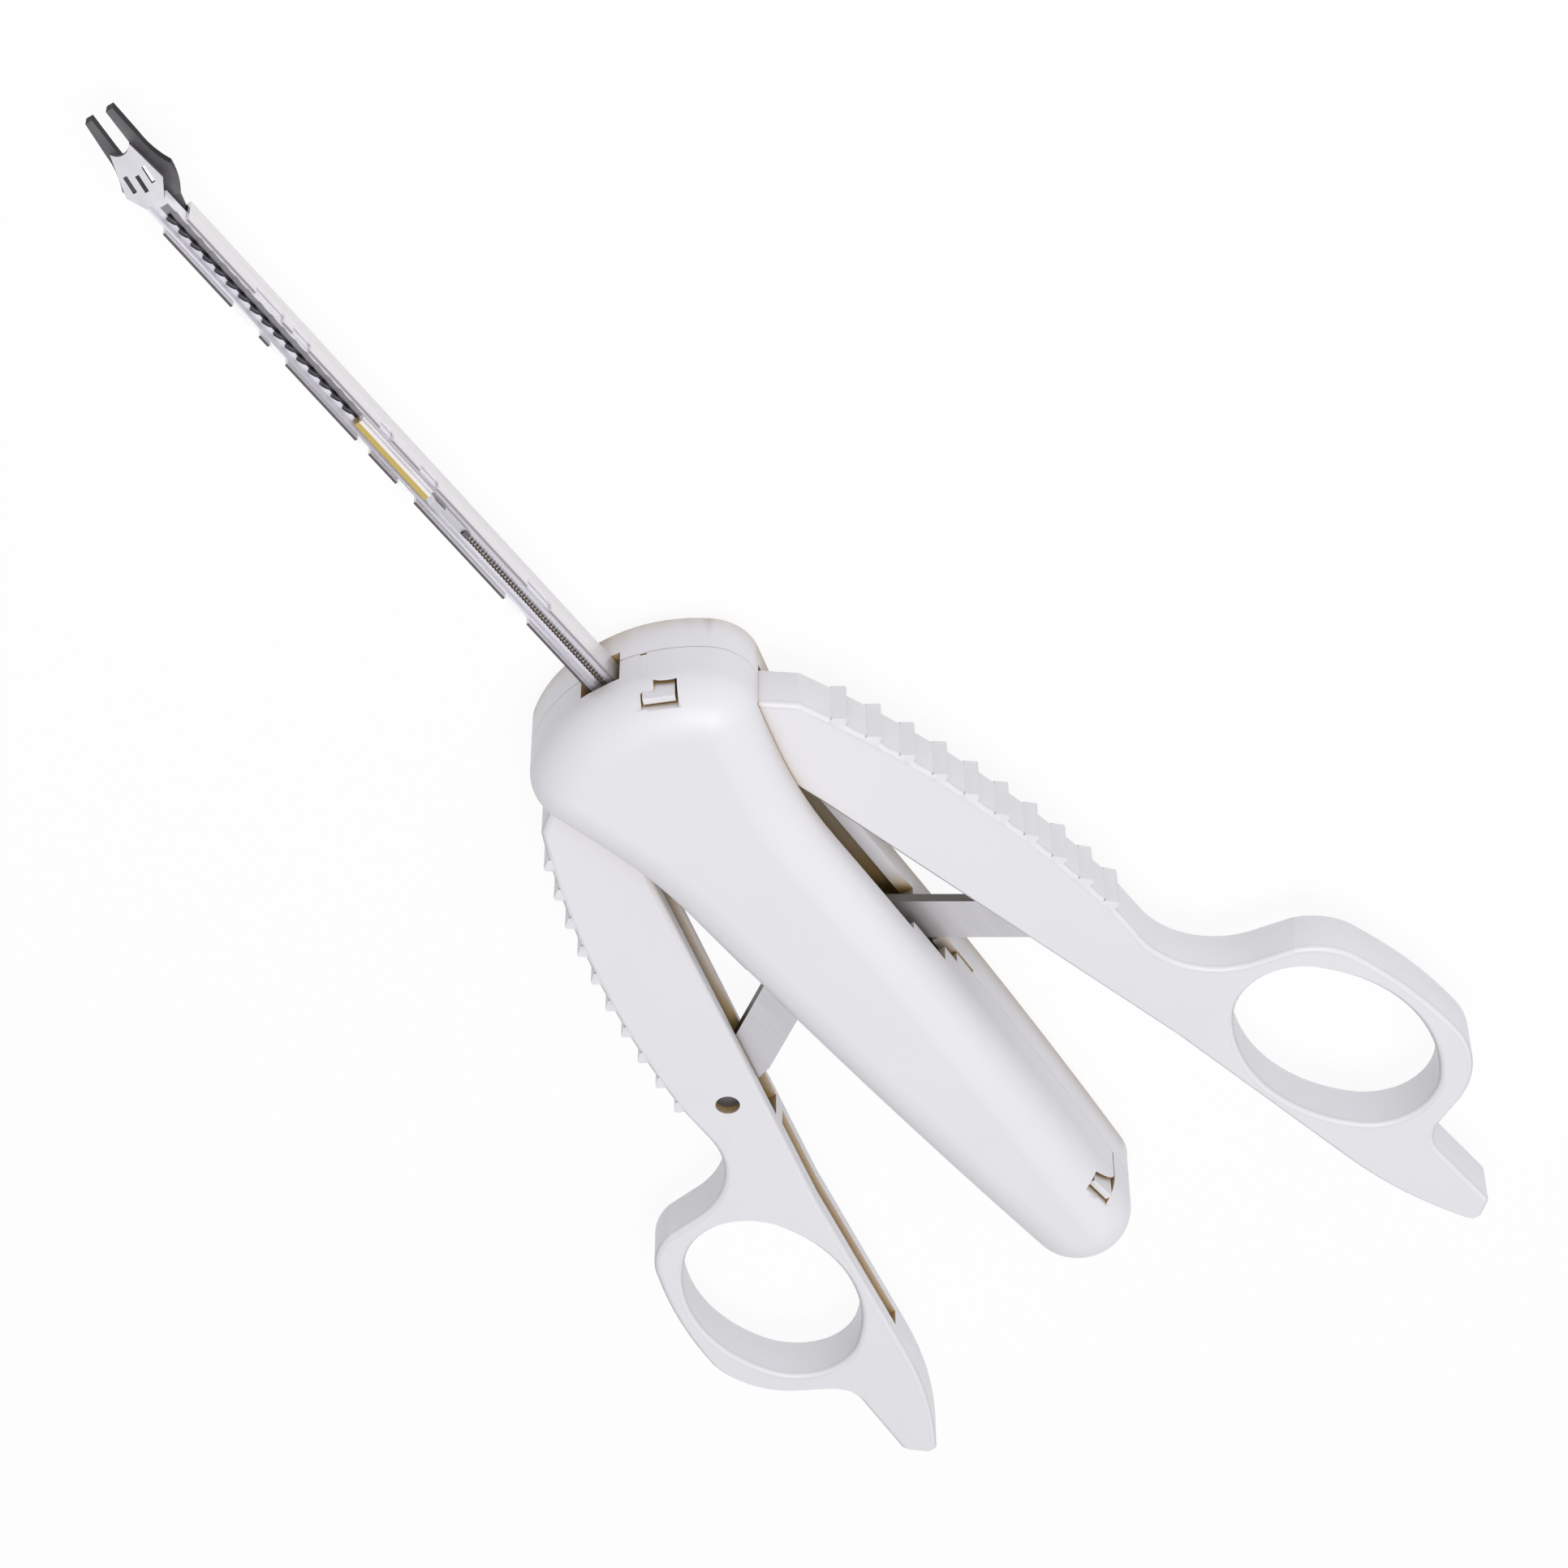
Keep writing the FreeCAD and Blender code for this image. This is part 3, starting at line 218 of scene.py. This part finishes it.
def paintUprightShade(tree, colour, look, place):
    # painted shade: the upright faces of a stamped piece, its cut edges, are painted darker than its flat
    # faces, for the dark that the metal reflects there
    x, y = place
    facing = addNode(tree, "ShaderNodeNewGeometry", place)
    parts = addNode(tree, "ShaderNodeSeparateXYZ", (x + 180, y))
    upright = addNode(tree, "ShaderNodeMath", (x + 360, y), operation="ABSOLUTE")
    join(tree, (facing.outputs["Normal"], parts.inputs["Vector"]), (parts.outputs["Z"], upright.inputs[0]))
    share = softStep(tree, upright.outputs["Value"], look["edgeShadeFull"], look["edgeShadeNone"], (x + 540, y))
    return mixColours(tree, share, look["edge"], colour, (x + 720, y))


def paintStrip(tree, colour, strip, place):
    # paints the part of the surface that lies inside the strip's limits along the object's own axes
    x, y = place
    where = addNode(tree, "ShaderNodeTexCoord", place)
    parts = addNode(tree, "ShaderNodeSeparateXYZ", (x + 180, y))
    join(tree, (where.outputs["Object"], parts.inputs["Vector"]))
    inside = None
    for step, (axis, low, high) in enumerate(strip["within"]):
        for test, limit in (("GREATER_THAN", low), ("LESS_THAN", high)):
            side = addNode(tree, "ShaderNodeMath", (x + 360, y - 120 * step), operation=test)
            side.inputs[1].default_value = limit
            join(tree, (parts.outputs[axis], side.inputs[0]))
            if inside is None:
                inside = side.outputs["Value"]
                continue
            both = addNode(tree, "ShaderNodeMath", (x + 540, y - 120 * step), operation="MULTIPLY")
            join(tree, (inside, both.inputs[0]), (side.outputs["Value"], both.inputs[1]))
            inside = both.outputs["Value"]
    return mixColours(tree, inside, colour, strip["colour"], (x + 720, y))


def paintStrips(tree, colour, look):
    for row, strip in enumerate(look.get("strips", ())):
        colour = paintStrip(tree, colour, strip, (-700, 900 + 400 * row))
    return colour


def mouldedPlastic(name, look):
    material, tree, shader = newMaterial(name, {"IOR": look["ior"]})
    grain = useGrain(tree, look)
    colour = mixColours(tree, grain["Clouds"], look["shade"], look["colour"], (-350, 200))
    colour = paintNookShade(tree, colour, look, (-700, 500))
    colour = paintStrips(tree, colour, look)
    rough = mapValue(tree, grain["Clouds"], look["roughLow"], look["roughHigh"], (-350, 0))
    join(tree, (colour, shader.inputs["Base Color"]), (rough, shader.inputs["Roughness"]))
    bumpFrom(tree, shader, grain["Height"], look["grainStrength"], look["grainDepth"])
    return material


def stripSteel(name, look):
    material, tree, shader = newMaterial(name, {"Metallic": look["metallic"]})
    streaks = useGroup(tree, drawnStreaks, {
        "Along": look["along"], "Across": look["across"], "Contrast": look["contrast"]})["Streaks"]
    colour = mixColours(tree, streaks, look["dark"], look["bright"], (-350, 200))
    if "edge" in look:
        colour = paintUprightShade(tree, colour, look, (-700, 500))
    colour = paintStrips(tree, colour, look)
    rough = mapValue(tree, streaks, look["roughHigh"], look["roughLow"], (-350, 0))
    join(tree, (colour, shader.inputs["Base Color"]), (rough, shader.inputs["Roughness"]))
    bumpFrom(tree, shader, streaks, look["bump"], look["streakDepth"])
    return material


def clearPlastic(name, look):
    # thin clear cover: mostly see-through, with a pale sheen that clouds a little from place to place
    material, tree, shader = newMaterial(name, {"IOR": look["ior"], "Base Color": (*look["colour"], 1)})
    grain = useGrain(tree, look)
    rough = mapValue(tree, grain["Clouds"], look["roughLow"], look["roughHigh"], (-350, 0))
    film = mapValue(tree, grain["Clouds"], look["filmLow"], look["filmHigh"], (-350, -200))
    join(tree, (rough, shader.inputs["Roughness"]), (film, shader.inputs["Alpha"]))
    bumpFrom(tree, shader, grain["Height"], look["grainStrength"], look["grainDepth"])
    return material


whiteLook = {
    "colour": (0.80, 0.79, 0.83), "shade": (0.77, 0.76, 0.80), "ior": 1.49,
    "grainScale": 2600.0, "cloudScale": 45.0, "cloudShare": 0.2, "grainStrength": 0.12, "grainDepth": 0.03 * mm,
    "roughLow": 0.38, "roughHigh": 0.48,
    # painted shade: the brown that occluded slots, windows and gaps are painted
    "nookShadeColour": (0.40, 0.27, 0.11), "nookReach": 7.0 * mm, "nookFull": 0.25, "nookNone": 0.92,
    "nookSamples": 12}
greyLook = {**whiteLook, "colour": (0.36, 0.36, 0.38), "shade": (0.31, 0.31, 0.33)}
yellowLook = {
    **whiteLook, "colour": (0.58, 0.44, 0.12), "shade": (0.50, 0.36, 0.09), "roughLow": 0.2, "roughHigh": 0.3,
    "strips": ({"colour": (0.86, 0.83, 0.84), "within": (("Y", -farAway, -0.12 * mm),)},)}
coverLook = {
    "colour": (0.92, 0.90, 0.97), "ior": 1.45,
    "grainScale": 900.0, "cloudScale": 160.0, "cloudShare": 0.6, "grainStrength": 0.2, "grainDepth": 0.03 * mm,
    "roughLow": 0.06, "roughHigh": 0.2, "filmLow": 0.06, "filmHigh": 0.22}

plateLook = {
    "metallic": 0.8, "dark": (0.44, 0.43, 0.46), "bright": (0.58, 0.57, 0.60),
    "along": 60.0, "across": 600.0, "contrast": 1.4, "bump": 0.12, "streakDepth": 0.02 * mm,
    "roughLow": 0.36, "roughHigh": 0.52, "edgeShadeFull": 0.35, "edgeShadeNone": 0.8}
rimTop = 9.28 * mm
shaftLook = {
    **plateLook, "metallic": 0.55, "dark": (0.66, 0.64, 0.68), "bright": (0.93, 0.90, 0.91),
    "along": 4.0, "across": 420.0, "contrast": 1.3, "bump": 0.08, "roughLow": 0.24, "roughHigh": 0.36,
    # painted shade: the channel's rim tops are painted near-black on the left and dark grey on the right
    "strips": (
        {"colour": (0.11, 0.10, 0.11), "within": (("Z", rimTop, farAway), ("Y", 1.42 * mm, farAway))},
        {"colour": (0.34, 0.31, 0.35), "within": (("Z", rimTop, farAway), ("Y", -farAway, -1.46 * mm))})}
clipLook = {**plateLook, "metallic": 0.0, "dark": (0.010, 0.008, 0.012), "bright": (0.03, 0.026, 0.034)}
wireLook = {**plateLook, "dark": (0.07, 0.05, 0.035), "bright": (0.18, 0.13, 0.09)}
# the "edge" colours of the jaw, nose plate and link are painted shade on their upright faces
jawLook = {**plateLook, "dark": (0.08, 0.075, 0.08), "bright": (0.17, 0.165, 0.18), "edge": (0.012, 0.01, 0.01)}
noseLook = {**plateLook, "dark": (0.50, 0.49, 0.52), "bright": (0.70, 0.69, 0.73), "edge": (0.10, 0.09, 0.10)}
linkLook = {**plateLook, "dark": (0.49, 0.48, 0.51), "bright": (0.60, 0.59, 0.62), "edge": (0.14, 0.13, 0.12)}
laneLook = {
    **plateLook, "metallic": 0.2, "dark": (0.74, 0.72, 0.80), "bright": (0.93, 0.92, 0.97),
    # painted shadow: a near-black strip on the lane floor under the clips
    "strips": ({
        "colour": (0.02, 0.017, 0.022),
        "within": (("X", 55.6 * mm, 90.2 * mm), ("Y", -0.52 * mm, 0.52 * mm), ("Z", 7.9 * mm, 8.2 * mm))},)}

finishes = {
    "housing_plastic": mouldedPlastic("bodyWhite", whiteLook),
    "handle_plastic": mouldedPlastic("handleWhite", whiteLook),
    "steel": stripSteel("linkSteel", linkLook),
    "polished_steel": stripSteel("shaftSteel", shaftLook),
    "clear_plastic": clearPlastic("coverClear", coverLook),
    "clip_metal": stripSteel("clipDark", clipLook),
    "yellow_plastic": mouldedPlastic("followerYellow", yellowLook),
    "grey_plastic": mouldedPlastic("blockGrey", greyLook),
    "brass_wire": stripSteel("springWire", wireLook),
}
ownFinishes = {
    "left_jaw": stripSteel("jawSteel", jawLook),
    "nose_plate": stripSteel("noseSteel", noseLook),
    "cartridge_frame": stripSteel("laneSteel", laneLook),
    # painted shade: the feed bar takes the clips' near-black finish, so the lane under the clips reads dark
    "feed_bar": finishes["clip_metal"],
}
for likeTheJaw in ("right_jaw", "jaw_root", "spring_button"):
    ownFinishes[likeTheJaw] = ownFinishes["left_jaw"]
slotOf = {entry["node"]: entry["material_slot"] for entry in frame["record"]["subparts"]}
for nodeName, thing in frame["nodes"].items():
    thing.data.materials.clear()
    thing.data.materials.append(ownFinishes.get(nodeName, finishes[slotOf[nodeName]]))
print("materials set on", len(frame["nodes"]), "nodes")


def soften(name, node, body, look):
    # a merged copy of the solid's mesh, shaded round over its broken edges, with the joint line opened
    mesh = frame["nodes"][node].data.copy()
    shape = bmesh.new()
    shape.from_mesh(mesh)
    bmesh.ops.remove_doubles(shape, verts=shape.verts, dist=look["merge"])
    bmesh.ops.dissolve_limit(
        shape, angle_limit=math.radians(look["flat"]), verts=shape.verts, edges=shape.edges)
    if "jointHeight" in look:
        rim = [edge for edge in shape.edges
               if len(edge.link_faces) == 2 and edge.calc_face_angle(0) > look["rimAngle"]
               and all(abs(corner.co.z - look["jointHeight"]) < look["rimSlack"] for corner in edge.verts)]
        bmesh.ops.bevel(
            shape, geom=rim, offset=look["jointGap"], segments=1, affect="EDGES", clamp_overlap=True)
    for edge in shape.edges:
        edge.smooth = len(edge.link_faces) == 2 and edge.calc_face_angle(0) < math.radians(look["round"])
    for face in shape.faces:
        face.smooth = True
    shape.to_mesh(mesh)
    shape.free()
    rough = addObject(name + "Rough", mesh)
    normals = rough.modifiers.new("normals", "WEIGHTED_NORMAL")
    normals.keep_sharp = True
    piece = settle(rough, name)
    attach(piece, body)
    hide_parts(node)
    print(name, len(piece.data.polygons), "faces")


handleEdges = {"merge": 0.002 * mm, "round": 52.0, "flat": 0.05}
shellEdges = {
    "merge": 0.002 * mm, "round": 50.0, "flat": 0.02,
    "jointHeight": 7.0 * mm, "jointGap": 0.34 * mm, "rimAngle": 1.2, "rimSlack": 0.01 * mm}
soften("upperShellSoft", "upper_body_shell", "housing", shellEdges)
soften("lowerShellSoft", "lower_body_shell", "housing", shellEdges)
soften("leftHandleSoft", "left_handle", "left_handle", handleEdges)
soften("rightHandleSoft", "right_handle", "right_handle", handleEdges)

cheekValues = {
    "low": 7.35 * mm, "high": 13.4 * mm, "roundStart": 11.0 * mm, "round": 6.0 * mm, "radius": 19.5 * mm,
    "sunk": 0.01 * mm, "thick": 0.7 * mm, "centreX": -9.85 * mm, "centreY": -0.58 * mm,
    "from": math.asin(4.1 / 19.5), "to": math.asin(6.3 / 19.5), "rows": 14, "columns": 6}


def cheekRow(look, height):
    # the skin's outer and inner points at one height, on the front's arc and the top edge's round
    over = max(height - look["roundStart"], 0)
    inset = look["round"] - math.sqrt(look["round"] ** 2 - over ** 2)
    row = []
    for depth in (look["sunk"], look["sunk"] + look["thick"]):
        reach = look["radius"] - inset - depth
        for column in range(look["columns"] + 1):
            turn = look["from"] + (look["to"] - look["from"]) * column / look["columns"]
            x = look["centreX"] + reach * math.cos(turn)
            y = look["centreY"] - reach * math.sin(turn)
            row.append((x, y, height))
    return row


def closeCheek(look):
    # thin skin of the front wall beside the front window
    corners = []
    for step in range(look["rows"] + 1):
        corners += cheekRow(look, look["low"] + (look["high"] - look["low"]) * step / look["rows"])
    wide = look["columns"] + 1
    ring = list(range(wide)) + list(range(2 * wide - 1, wide - 1, -1))
    faces = []
    for step in range(look["rows"]):
        below = step * 2 * wide
        above = below + 2 * wide
        for here, there in zip(ring, ring[1:] + ring[:1]):
            faces.append((below + here, below + there, above + there, above + here))
    faces.append(tuple(ring))
    faces.append(tuple(look["rows"] * 2 * wide + corner for corner in reversed(ring)))
    mesh = bpy.data.meshes.new("windowCheek")
    mesh.from_pydata(corners, [], faces)
    shape = bmesh.new()
    shape.from_mesh(mesh)
    bmesh.ops.recalc_face_normals(shape, faces=shape.faces)
    shape.to_mesh(mesh)
    shape.free()
    mesh.materials.append(finishes["housing_plastic"])
    piece = addObject("windowCheek", mesh)
    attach(piece, "housing")


closeCheek(cheekValues)
print("shells and handles softened")


def newTree(name, numbers):
    tree = bpy.data.node_groups.new(name, "GeometryNodeTree")
    tree.interface.new_socket("Geometry", in_out="INPUT", socket_type="NodeSocketGeometry")
    for label, kind, preset in numbers:
        tree.interface.new_socket(label, in_out="INPUT", socket_type=kind).default_value = preset
    tree.interface.new_socket("Finish", in_out="INPUT", socket_type="NodeSocketMaterial")
    tree.interface.new_socket("Geometry", in_out="OUTPUT", socket_type="NodeSocketGeometry")
    inside = addNode(tree, "NodeGroupInput", (-900, 0))
    return tree, inside.outputs


def endTree(tree, geometry, finish):
    real = addNode(tree, "GeometryNodeRealizeInstances", (500, 0))
    paint = addNode(tree, "GeometryNodeSetMaterial", (700, 0))
    outside = addNode(tree, "NodeGroupOutput", (900, 0))
    join(tree, (geometry, real.inputs["Geometry"]), (real.outputs["Geometry"], paint.inputs["Geometry"]),
         (finish, paint.inputs["Material"]), (paint.outputs["Geometry"], outside.inputs["Geometry"]))


def sweepWire(tree, path, thickness, sides, place):
    # round wire along a curve, closed at both ends
    x, y = place
    profile = addNode(tree, "GeometryNodeCurvePrimitiveCircle", (x - 300, y - 200))
    setSockets(profile, {"Resolution": sides})
    sweep = addNode(tree, "GeometryNodeCurveToMesh", place)
    setSockets(sweep, {"Fill Caps": True})
    join(tree, (thickness, profile.inputs["Radius"]), (path, sweep.inputs["Curve"]),
         (profile.outputs["Curve"], sweep.inputs["Profile Curve"]))
    return sweep.outputs["Mesh"]


def grow(name, tree, values):
    # runs a tree on an empty mesh and keeps the result as a plain mesh object
    seed = addObject(name + "Seed", bpy.data.meshes.new(name + "Seed"))
    modifier = seed.modifiers.new("grow", "NODES")
    modifier.node_group = tree
    for item in tree.interface.items_tree:
        if item.in_out == "INPUT" and item.name in values:
            modifier[item.identifier] = values[item.name]
    piece = settle(seed, name)
    piece.data.name = name
    return piece


def springTree():
    # round wire wound about the X axis from Start, with Turns coils over Length
    tree, given = newTree("coilSpring", (
        ("Start", "NodeSocketVector", (0, 0, 0)), ("Length", "NodeSocketFloat", 50.0 * mm),
        ("Radius", "NodeSocketFloat", 2.0 * mm), ("Turns", "NodeSocketFloat", 20.0),
        ("Wire", "NodeSocketFloat", 0.3 * mm), ("Steps", "NodeSocketInt", 16)))
    spiral = addNode(tree, "GeometryNodeCurveSpiral", (-600, 100))
    wire = sweepWire(tree, spiral.outputs["Curve"], given["Wire"], 8, (-300, 0))
    turn = addNode(tree, "GeometryNodeTransform", (0, 0))
    setSockets(turn, {"Rotation": (0, math.pi / 2, 0)})
    smooth = addNode(tree, "GeometryNodeSetShadeSmooth", (250, 0))
    join(tree,
         (given["Steps"], spiral.inputs["Resolution"]), (given["Turns"], spiral.inputs["Rotations"]),
         (given["Radius"], spiral.inputs["Start Radius"]), (given["Radius"], spiral.inputs["End Radius"]),
         (given["Length"], spiral.inputs["Height"]), (wire, turn.inputs["Geometry"]),
         (given["Start"], turn.inputs["Translation"]), (turn.outputs["Geometry"], smooth.inputs["Geometry"]))
    endTree(tree, smooth.outputs["Geometry"], given["Finish"])
    return tree


def clipTree():
    # a row of open clips: each a bent wire, crown to the rear and legs spread forwards
    tree, given = newTree("clipRow", (
        ("First Crown", "NodeSocketVector", (0, 0, 0)), ("Step", "NodeSocketVector", (2.0 * mm, 0, 0)),
        ("Count", "NodeSocketInt", 16), ("Left Leg", "NodeSocketVector", (1.0 * mm, 0.5 * mm, 0)),
        ("Right Leg", "NodeSocketVector", (1.0 * mm, -0.5 * mm, 0)),
        ("Wire", "NodeSocketFloat", 0.25 * mm)))
    row = addNode(tree, "GeometryNodeMeshLine", (-600, 250), mode="OFFSET")
    bend = addNode(tree, "GeometryNodeCurveQuadraticBezier", (-600, -50))
    setSockets(bend, {"Resolution": 14, "Middle": (-0.6 * mm, 0, 0)})
    wire = sweepWire(tree, bend.outputs["Curve"], given["Wire"], 10, (-300, -100))
    smooth = addNode(tree, "GeometryNodeSetShadeSmooth", (-100, -100))
    place = addNode(tree, "GeometryNodeInstanceOnPoints", (200, 0))
    join(tree,
         (given["Count"], row.inputs["Count"]), (given["First Crown"], row.inputs["Start Location"]),
         (given["Step"], row.inputs["Offset"]), (given["Left Leg"], bend.inputs["Start"]),
         (given["Right Leg"], bend.inputs["End"]), (wire, smooth.inputs["Geometry"]),
         (row.outputs["Mesh"], place.inputs["Points"]),
         (smooth.outputs["Geometry"], place.inputs["Instance"]))
    endTree(tree, place.outputs["Instances"], given["Finish"])
    return tree


coilSpring = springTree()
clipRow = clipTree()


def windSpring(name, node, body, look):
    low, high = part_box(node)
    middle = (low + high) / 2
    piece = grow(name, coilSpring, {
        "Start": (low.x + look["wire"], middle.y, middle.z), "Length": high.x - low.x - 2 * look["wire"],
        "Radius": (high.z - low.z) / 2 - look["wire"], "Turns": look["turns"], "Wire": look["wire"],
        "Steps": look["steps"], "Finish": finishes[slotOf[node]]})
    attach(piece, body)
    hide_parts(node)


windSpring("returnSpringCoil", "return_spring", "housing", {"wire": 0.35 * mm, "turns": 52.0, "steps": 18})
windSpring("followerSpringCoil", "follower_spring", "housing", {"wire": 0.11 * mm, "turns": 60.0, "steps": 12})
print("springs wound")

clipValues = {
    "count": 16, "pitch": 2.06 * mm, "wire": 0.36 * mm, "spread": 0.44 * mm, "reach": 1.75 * mm,
    "crown": 0.3 * mm}
low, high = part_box("clips")
legReach = clipValues["reach"] - clipValues["crown"]
clipPiece = grow("clipRowPiece", clipRow, {
    "First Crown": (low.x + clipValues["wire"] + clipValues["crown"], 0, (low.z + high.z) / 2),
    "Step": (clipValues["pitch"], 0, 0), "Count": clipValues["count"],
    "Left Leg": (legReach, clipValues["spread"], 0), "Right Leg": (legReach, -clipValues["spread"], 0),
    "Wire": clipValues["wire"], "Finish": finishes["clip_metal"]})
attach(clipPiece, "clip_stack")
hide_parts("clips")
print("clips placed")

white = (1, 1, 1, 1)


def seenDirectly(tree, place):
    # 1 for what the camera sees, also in a shiny or through a clear surface, and 0 for light on matt ones
    x, y = place
    rays = addNode(tree, "ShaderNodeLightPath", place)
    seen = rays.outputs["Is Camera Ray"]
    for step, kind in enumerate(("Is Glossy Ray", "Is Transmission Ray"), 1):
        either = addNode(tree, "ShaderNodeMath", (x + 180 * step, y), operation="MAXIMUM")
        join(tree, (seen, either.inputs[0]), (rays.outputs[kind], either.inputs[1]))
        seen = either.outputs["Value"]
    return seen


def paleFloor(look):
    # looks almost white, and still takes soft shadows and bounces light
    half = look["half"]
    mesh = bpy.data.meshes.new("floor")
    corners = [(-half, -half, 0), (half, -half, 0), (half, half, 0), (-half, half, 0)]
    mesh.from_pydata(corners, [], [(0, 1, 2, 3)])
    floor = addObject("floor", mesh)
    floor.location.z = -look["drop"]
    material = bpy.data.materials.new("floorWhite")
    material.use_nodes = True
    tree = material.node_tree
    tree.nodes.clear()
    output = addNode(tree, "ShaderNodeOutputMaterial", (600, 0))
    seen = seenDirectly(tree, (-500, 200))
    glow = addNode(tree, "ShaderNodeEmission", (0, 150))
    setSockets(glow, {"Color": white})
    plain = addNode(tree, "ShaderNodeBsdfDiffuse", (0, -100))
    setSockets(plain, {"Color": (*look["colour"], 1)})
    share = addNode(tree, "ShaderNodeMath", (50, 350), operation="MULTIPLY")
    share.inputs[1].default_value = look["whiteShare"]
    mix = addNode(tree, "ShaderNodeMixShader", (300, 0))
    join(tree,
         (seen, share.inputs[0]), (share.outputs["Value"], mix.inputs["Fac"]),
         (plain.outputs["BSDF"], mix.inputs[1]), (glow.outputs["Emission"], mix.inputs[2]),
         (mix.outputs["Shader"], output.inputs["Surface"]))
    floor.data.materials.append(material)


def whiteWorld(look):
    # white where it is seen, and dimmer as a light, more so on the object's left
    world = bpy.data.worlds.new("studio")
    bpy.context.scene.world = world
    world.use_nodes = True
    tree = world.node_tree
    back = tree.nodes["Background"]
    setSockets(back, {"Color": white})
    seen = seenDirectly(tree, (-700, 0))
    sky = addNode(tree, "ShaderNodeTexCoord", (-900, -300))
    sides = addNode(tree, "ShaderNodeSeparateXYZ", (-700, -300))
    shade = addNode(tree, "ShaderNodeMapRange", (-500, -300))
    setSockets(shade, {"From Min": -1.0, "To Min": look["lightRight"], "To Max": look["lightLeft"]})
    level = addNode(tree, "ShaderNodeMapRange", (-200, 0))
    join(tree,
         (sky.outputs["Generated"], sides.inputs["Vector"]), (sides.outputs["Y"], shade.inputs["Value"]),
         (shade.outputs["Result"], level.inputs["To Min"]), (seen, level.inputs["Value"]),
         (level.outputs["Result"], back.inputs["Strength"]))


def softLamp(name, look):
    data = bpy.data.lights.new(name, "AREA")
    data.shape = "DISK"
    data.size = look["size"]
    data.energy = look["power"]
    lamp = addObject(name, data)
    lamp.location = look["place"]
    lamp.rotation_euler = (-Vector(look["place"])).to_track_quat("-Z", "Y").to_euler()


paleFloor({"half": 3.0, "drop": 0.5 * mm, "colour": (0.9, 0.9, 0.9), "whiteShare": 0.93})
whiteWorld({"lightRight": 0.58, "lightLeft": 0.30})
softLamp("keyLamp", {"place": (0.16, -0.30, 0.94), "size": 0.6, "power": 6.2})

viewOf = {
    "azimuth": -33.732, "elevation": 47.511, "roll": 179.819, "distance": 566.376 * mm,
    "target": (-16.8 * mm, -8.1 * mm, 7.7 * mm), "lens": 109.24, "sensor": 36.0}


def photoCamera(look):
    azimuth, elevation, roll = (math.radians(look[key]) for key in ("azimuth", "elevation", "roll"))
    level = Vector((math.cos(azimuth), math.sin(azimuth), 0))
    back = level * math.cos(elevation) + Vector((0, 0, math.sin(elevation)))
    right = (-back).cross(Vector((0, 0, 1))).normalized()
    up = right.cross(-back)
    rolledRight = math.cos(roll) * right + math.sin(roll) * up
    rolledUp = -math.sin(roll) * right + math.cos(roll) * up
    data = bpy.data.cameras.new("photoCamera")
    data.sensor_width = look["sensor"]
    data.lens = look["lens"]
    camera = addObject("photoCamera", data)
    turn = Matrix((rolledRight, rolledUp, back)).transposed().to_4x4()
    camera.matrix_world = Matrix.Translation(Vector(look["target"]) + back * look["distance"]) @ turn
    bpy.context.scene.camera = camera


photoCamera(viewOf)
bpy.context.scene.view_settings.view_transform = "Standard"
print("stage, lamps and camera set")
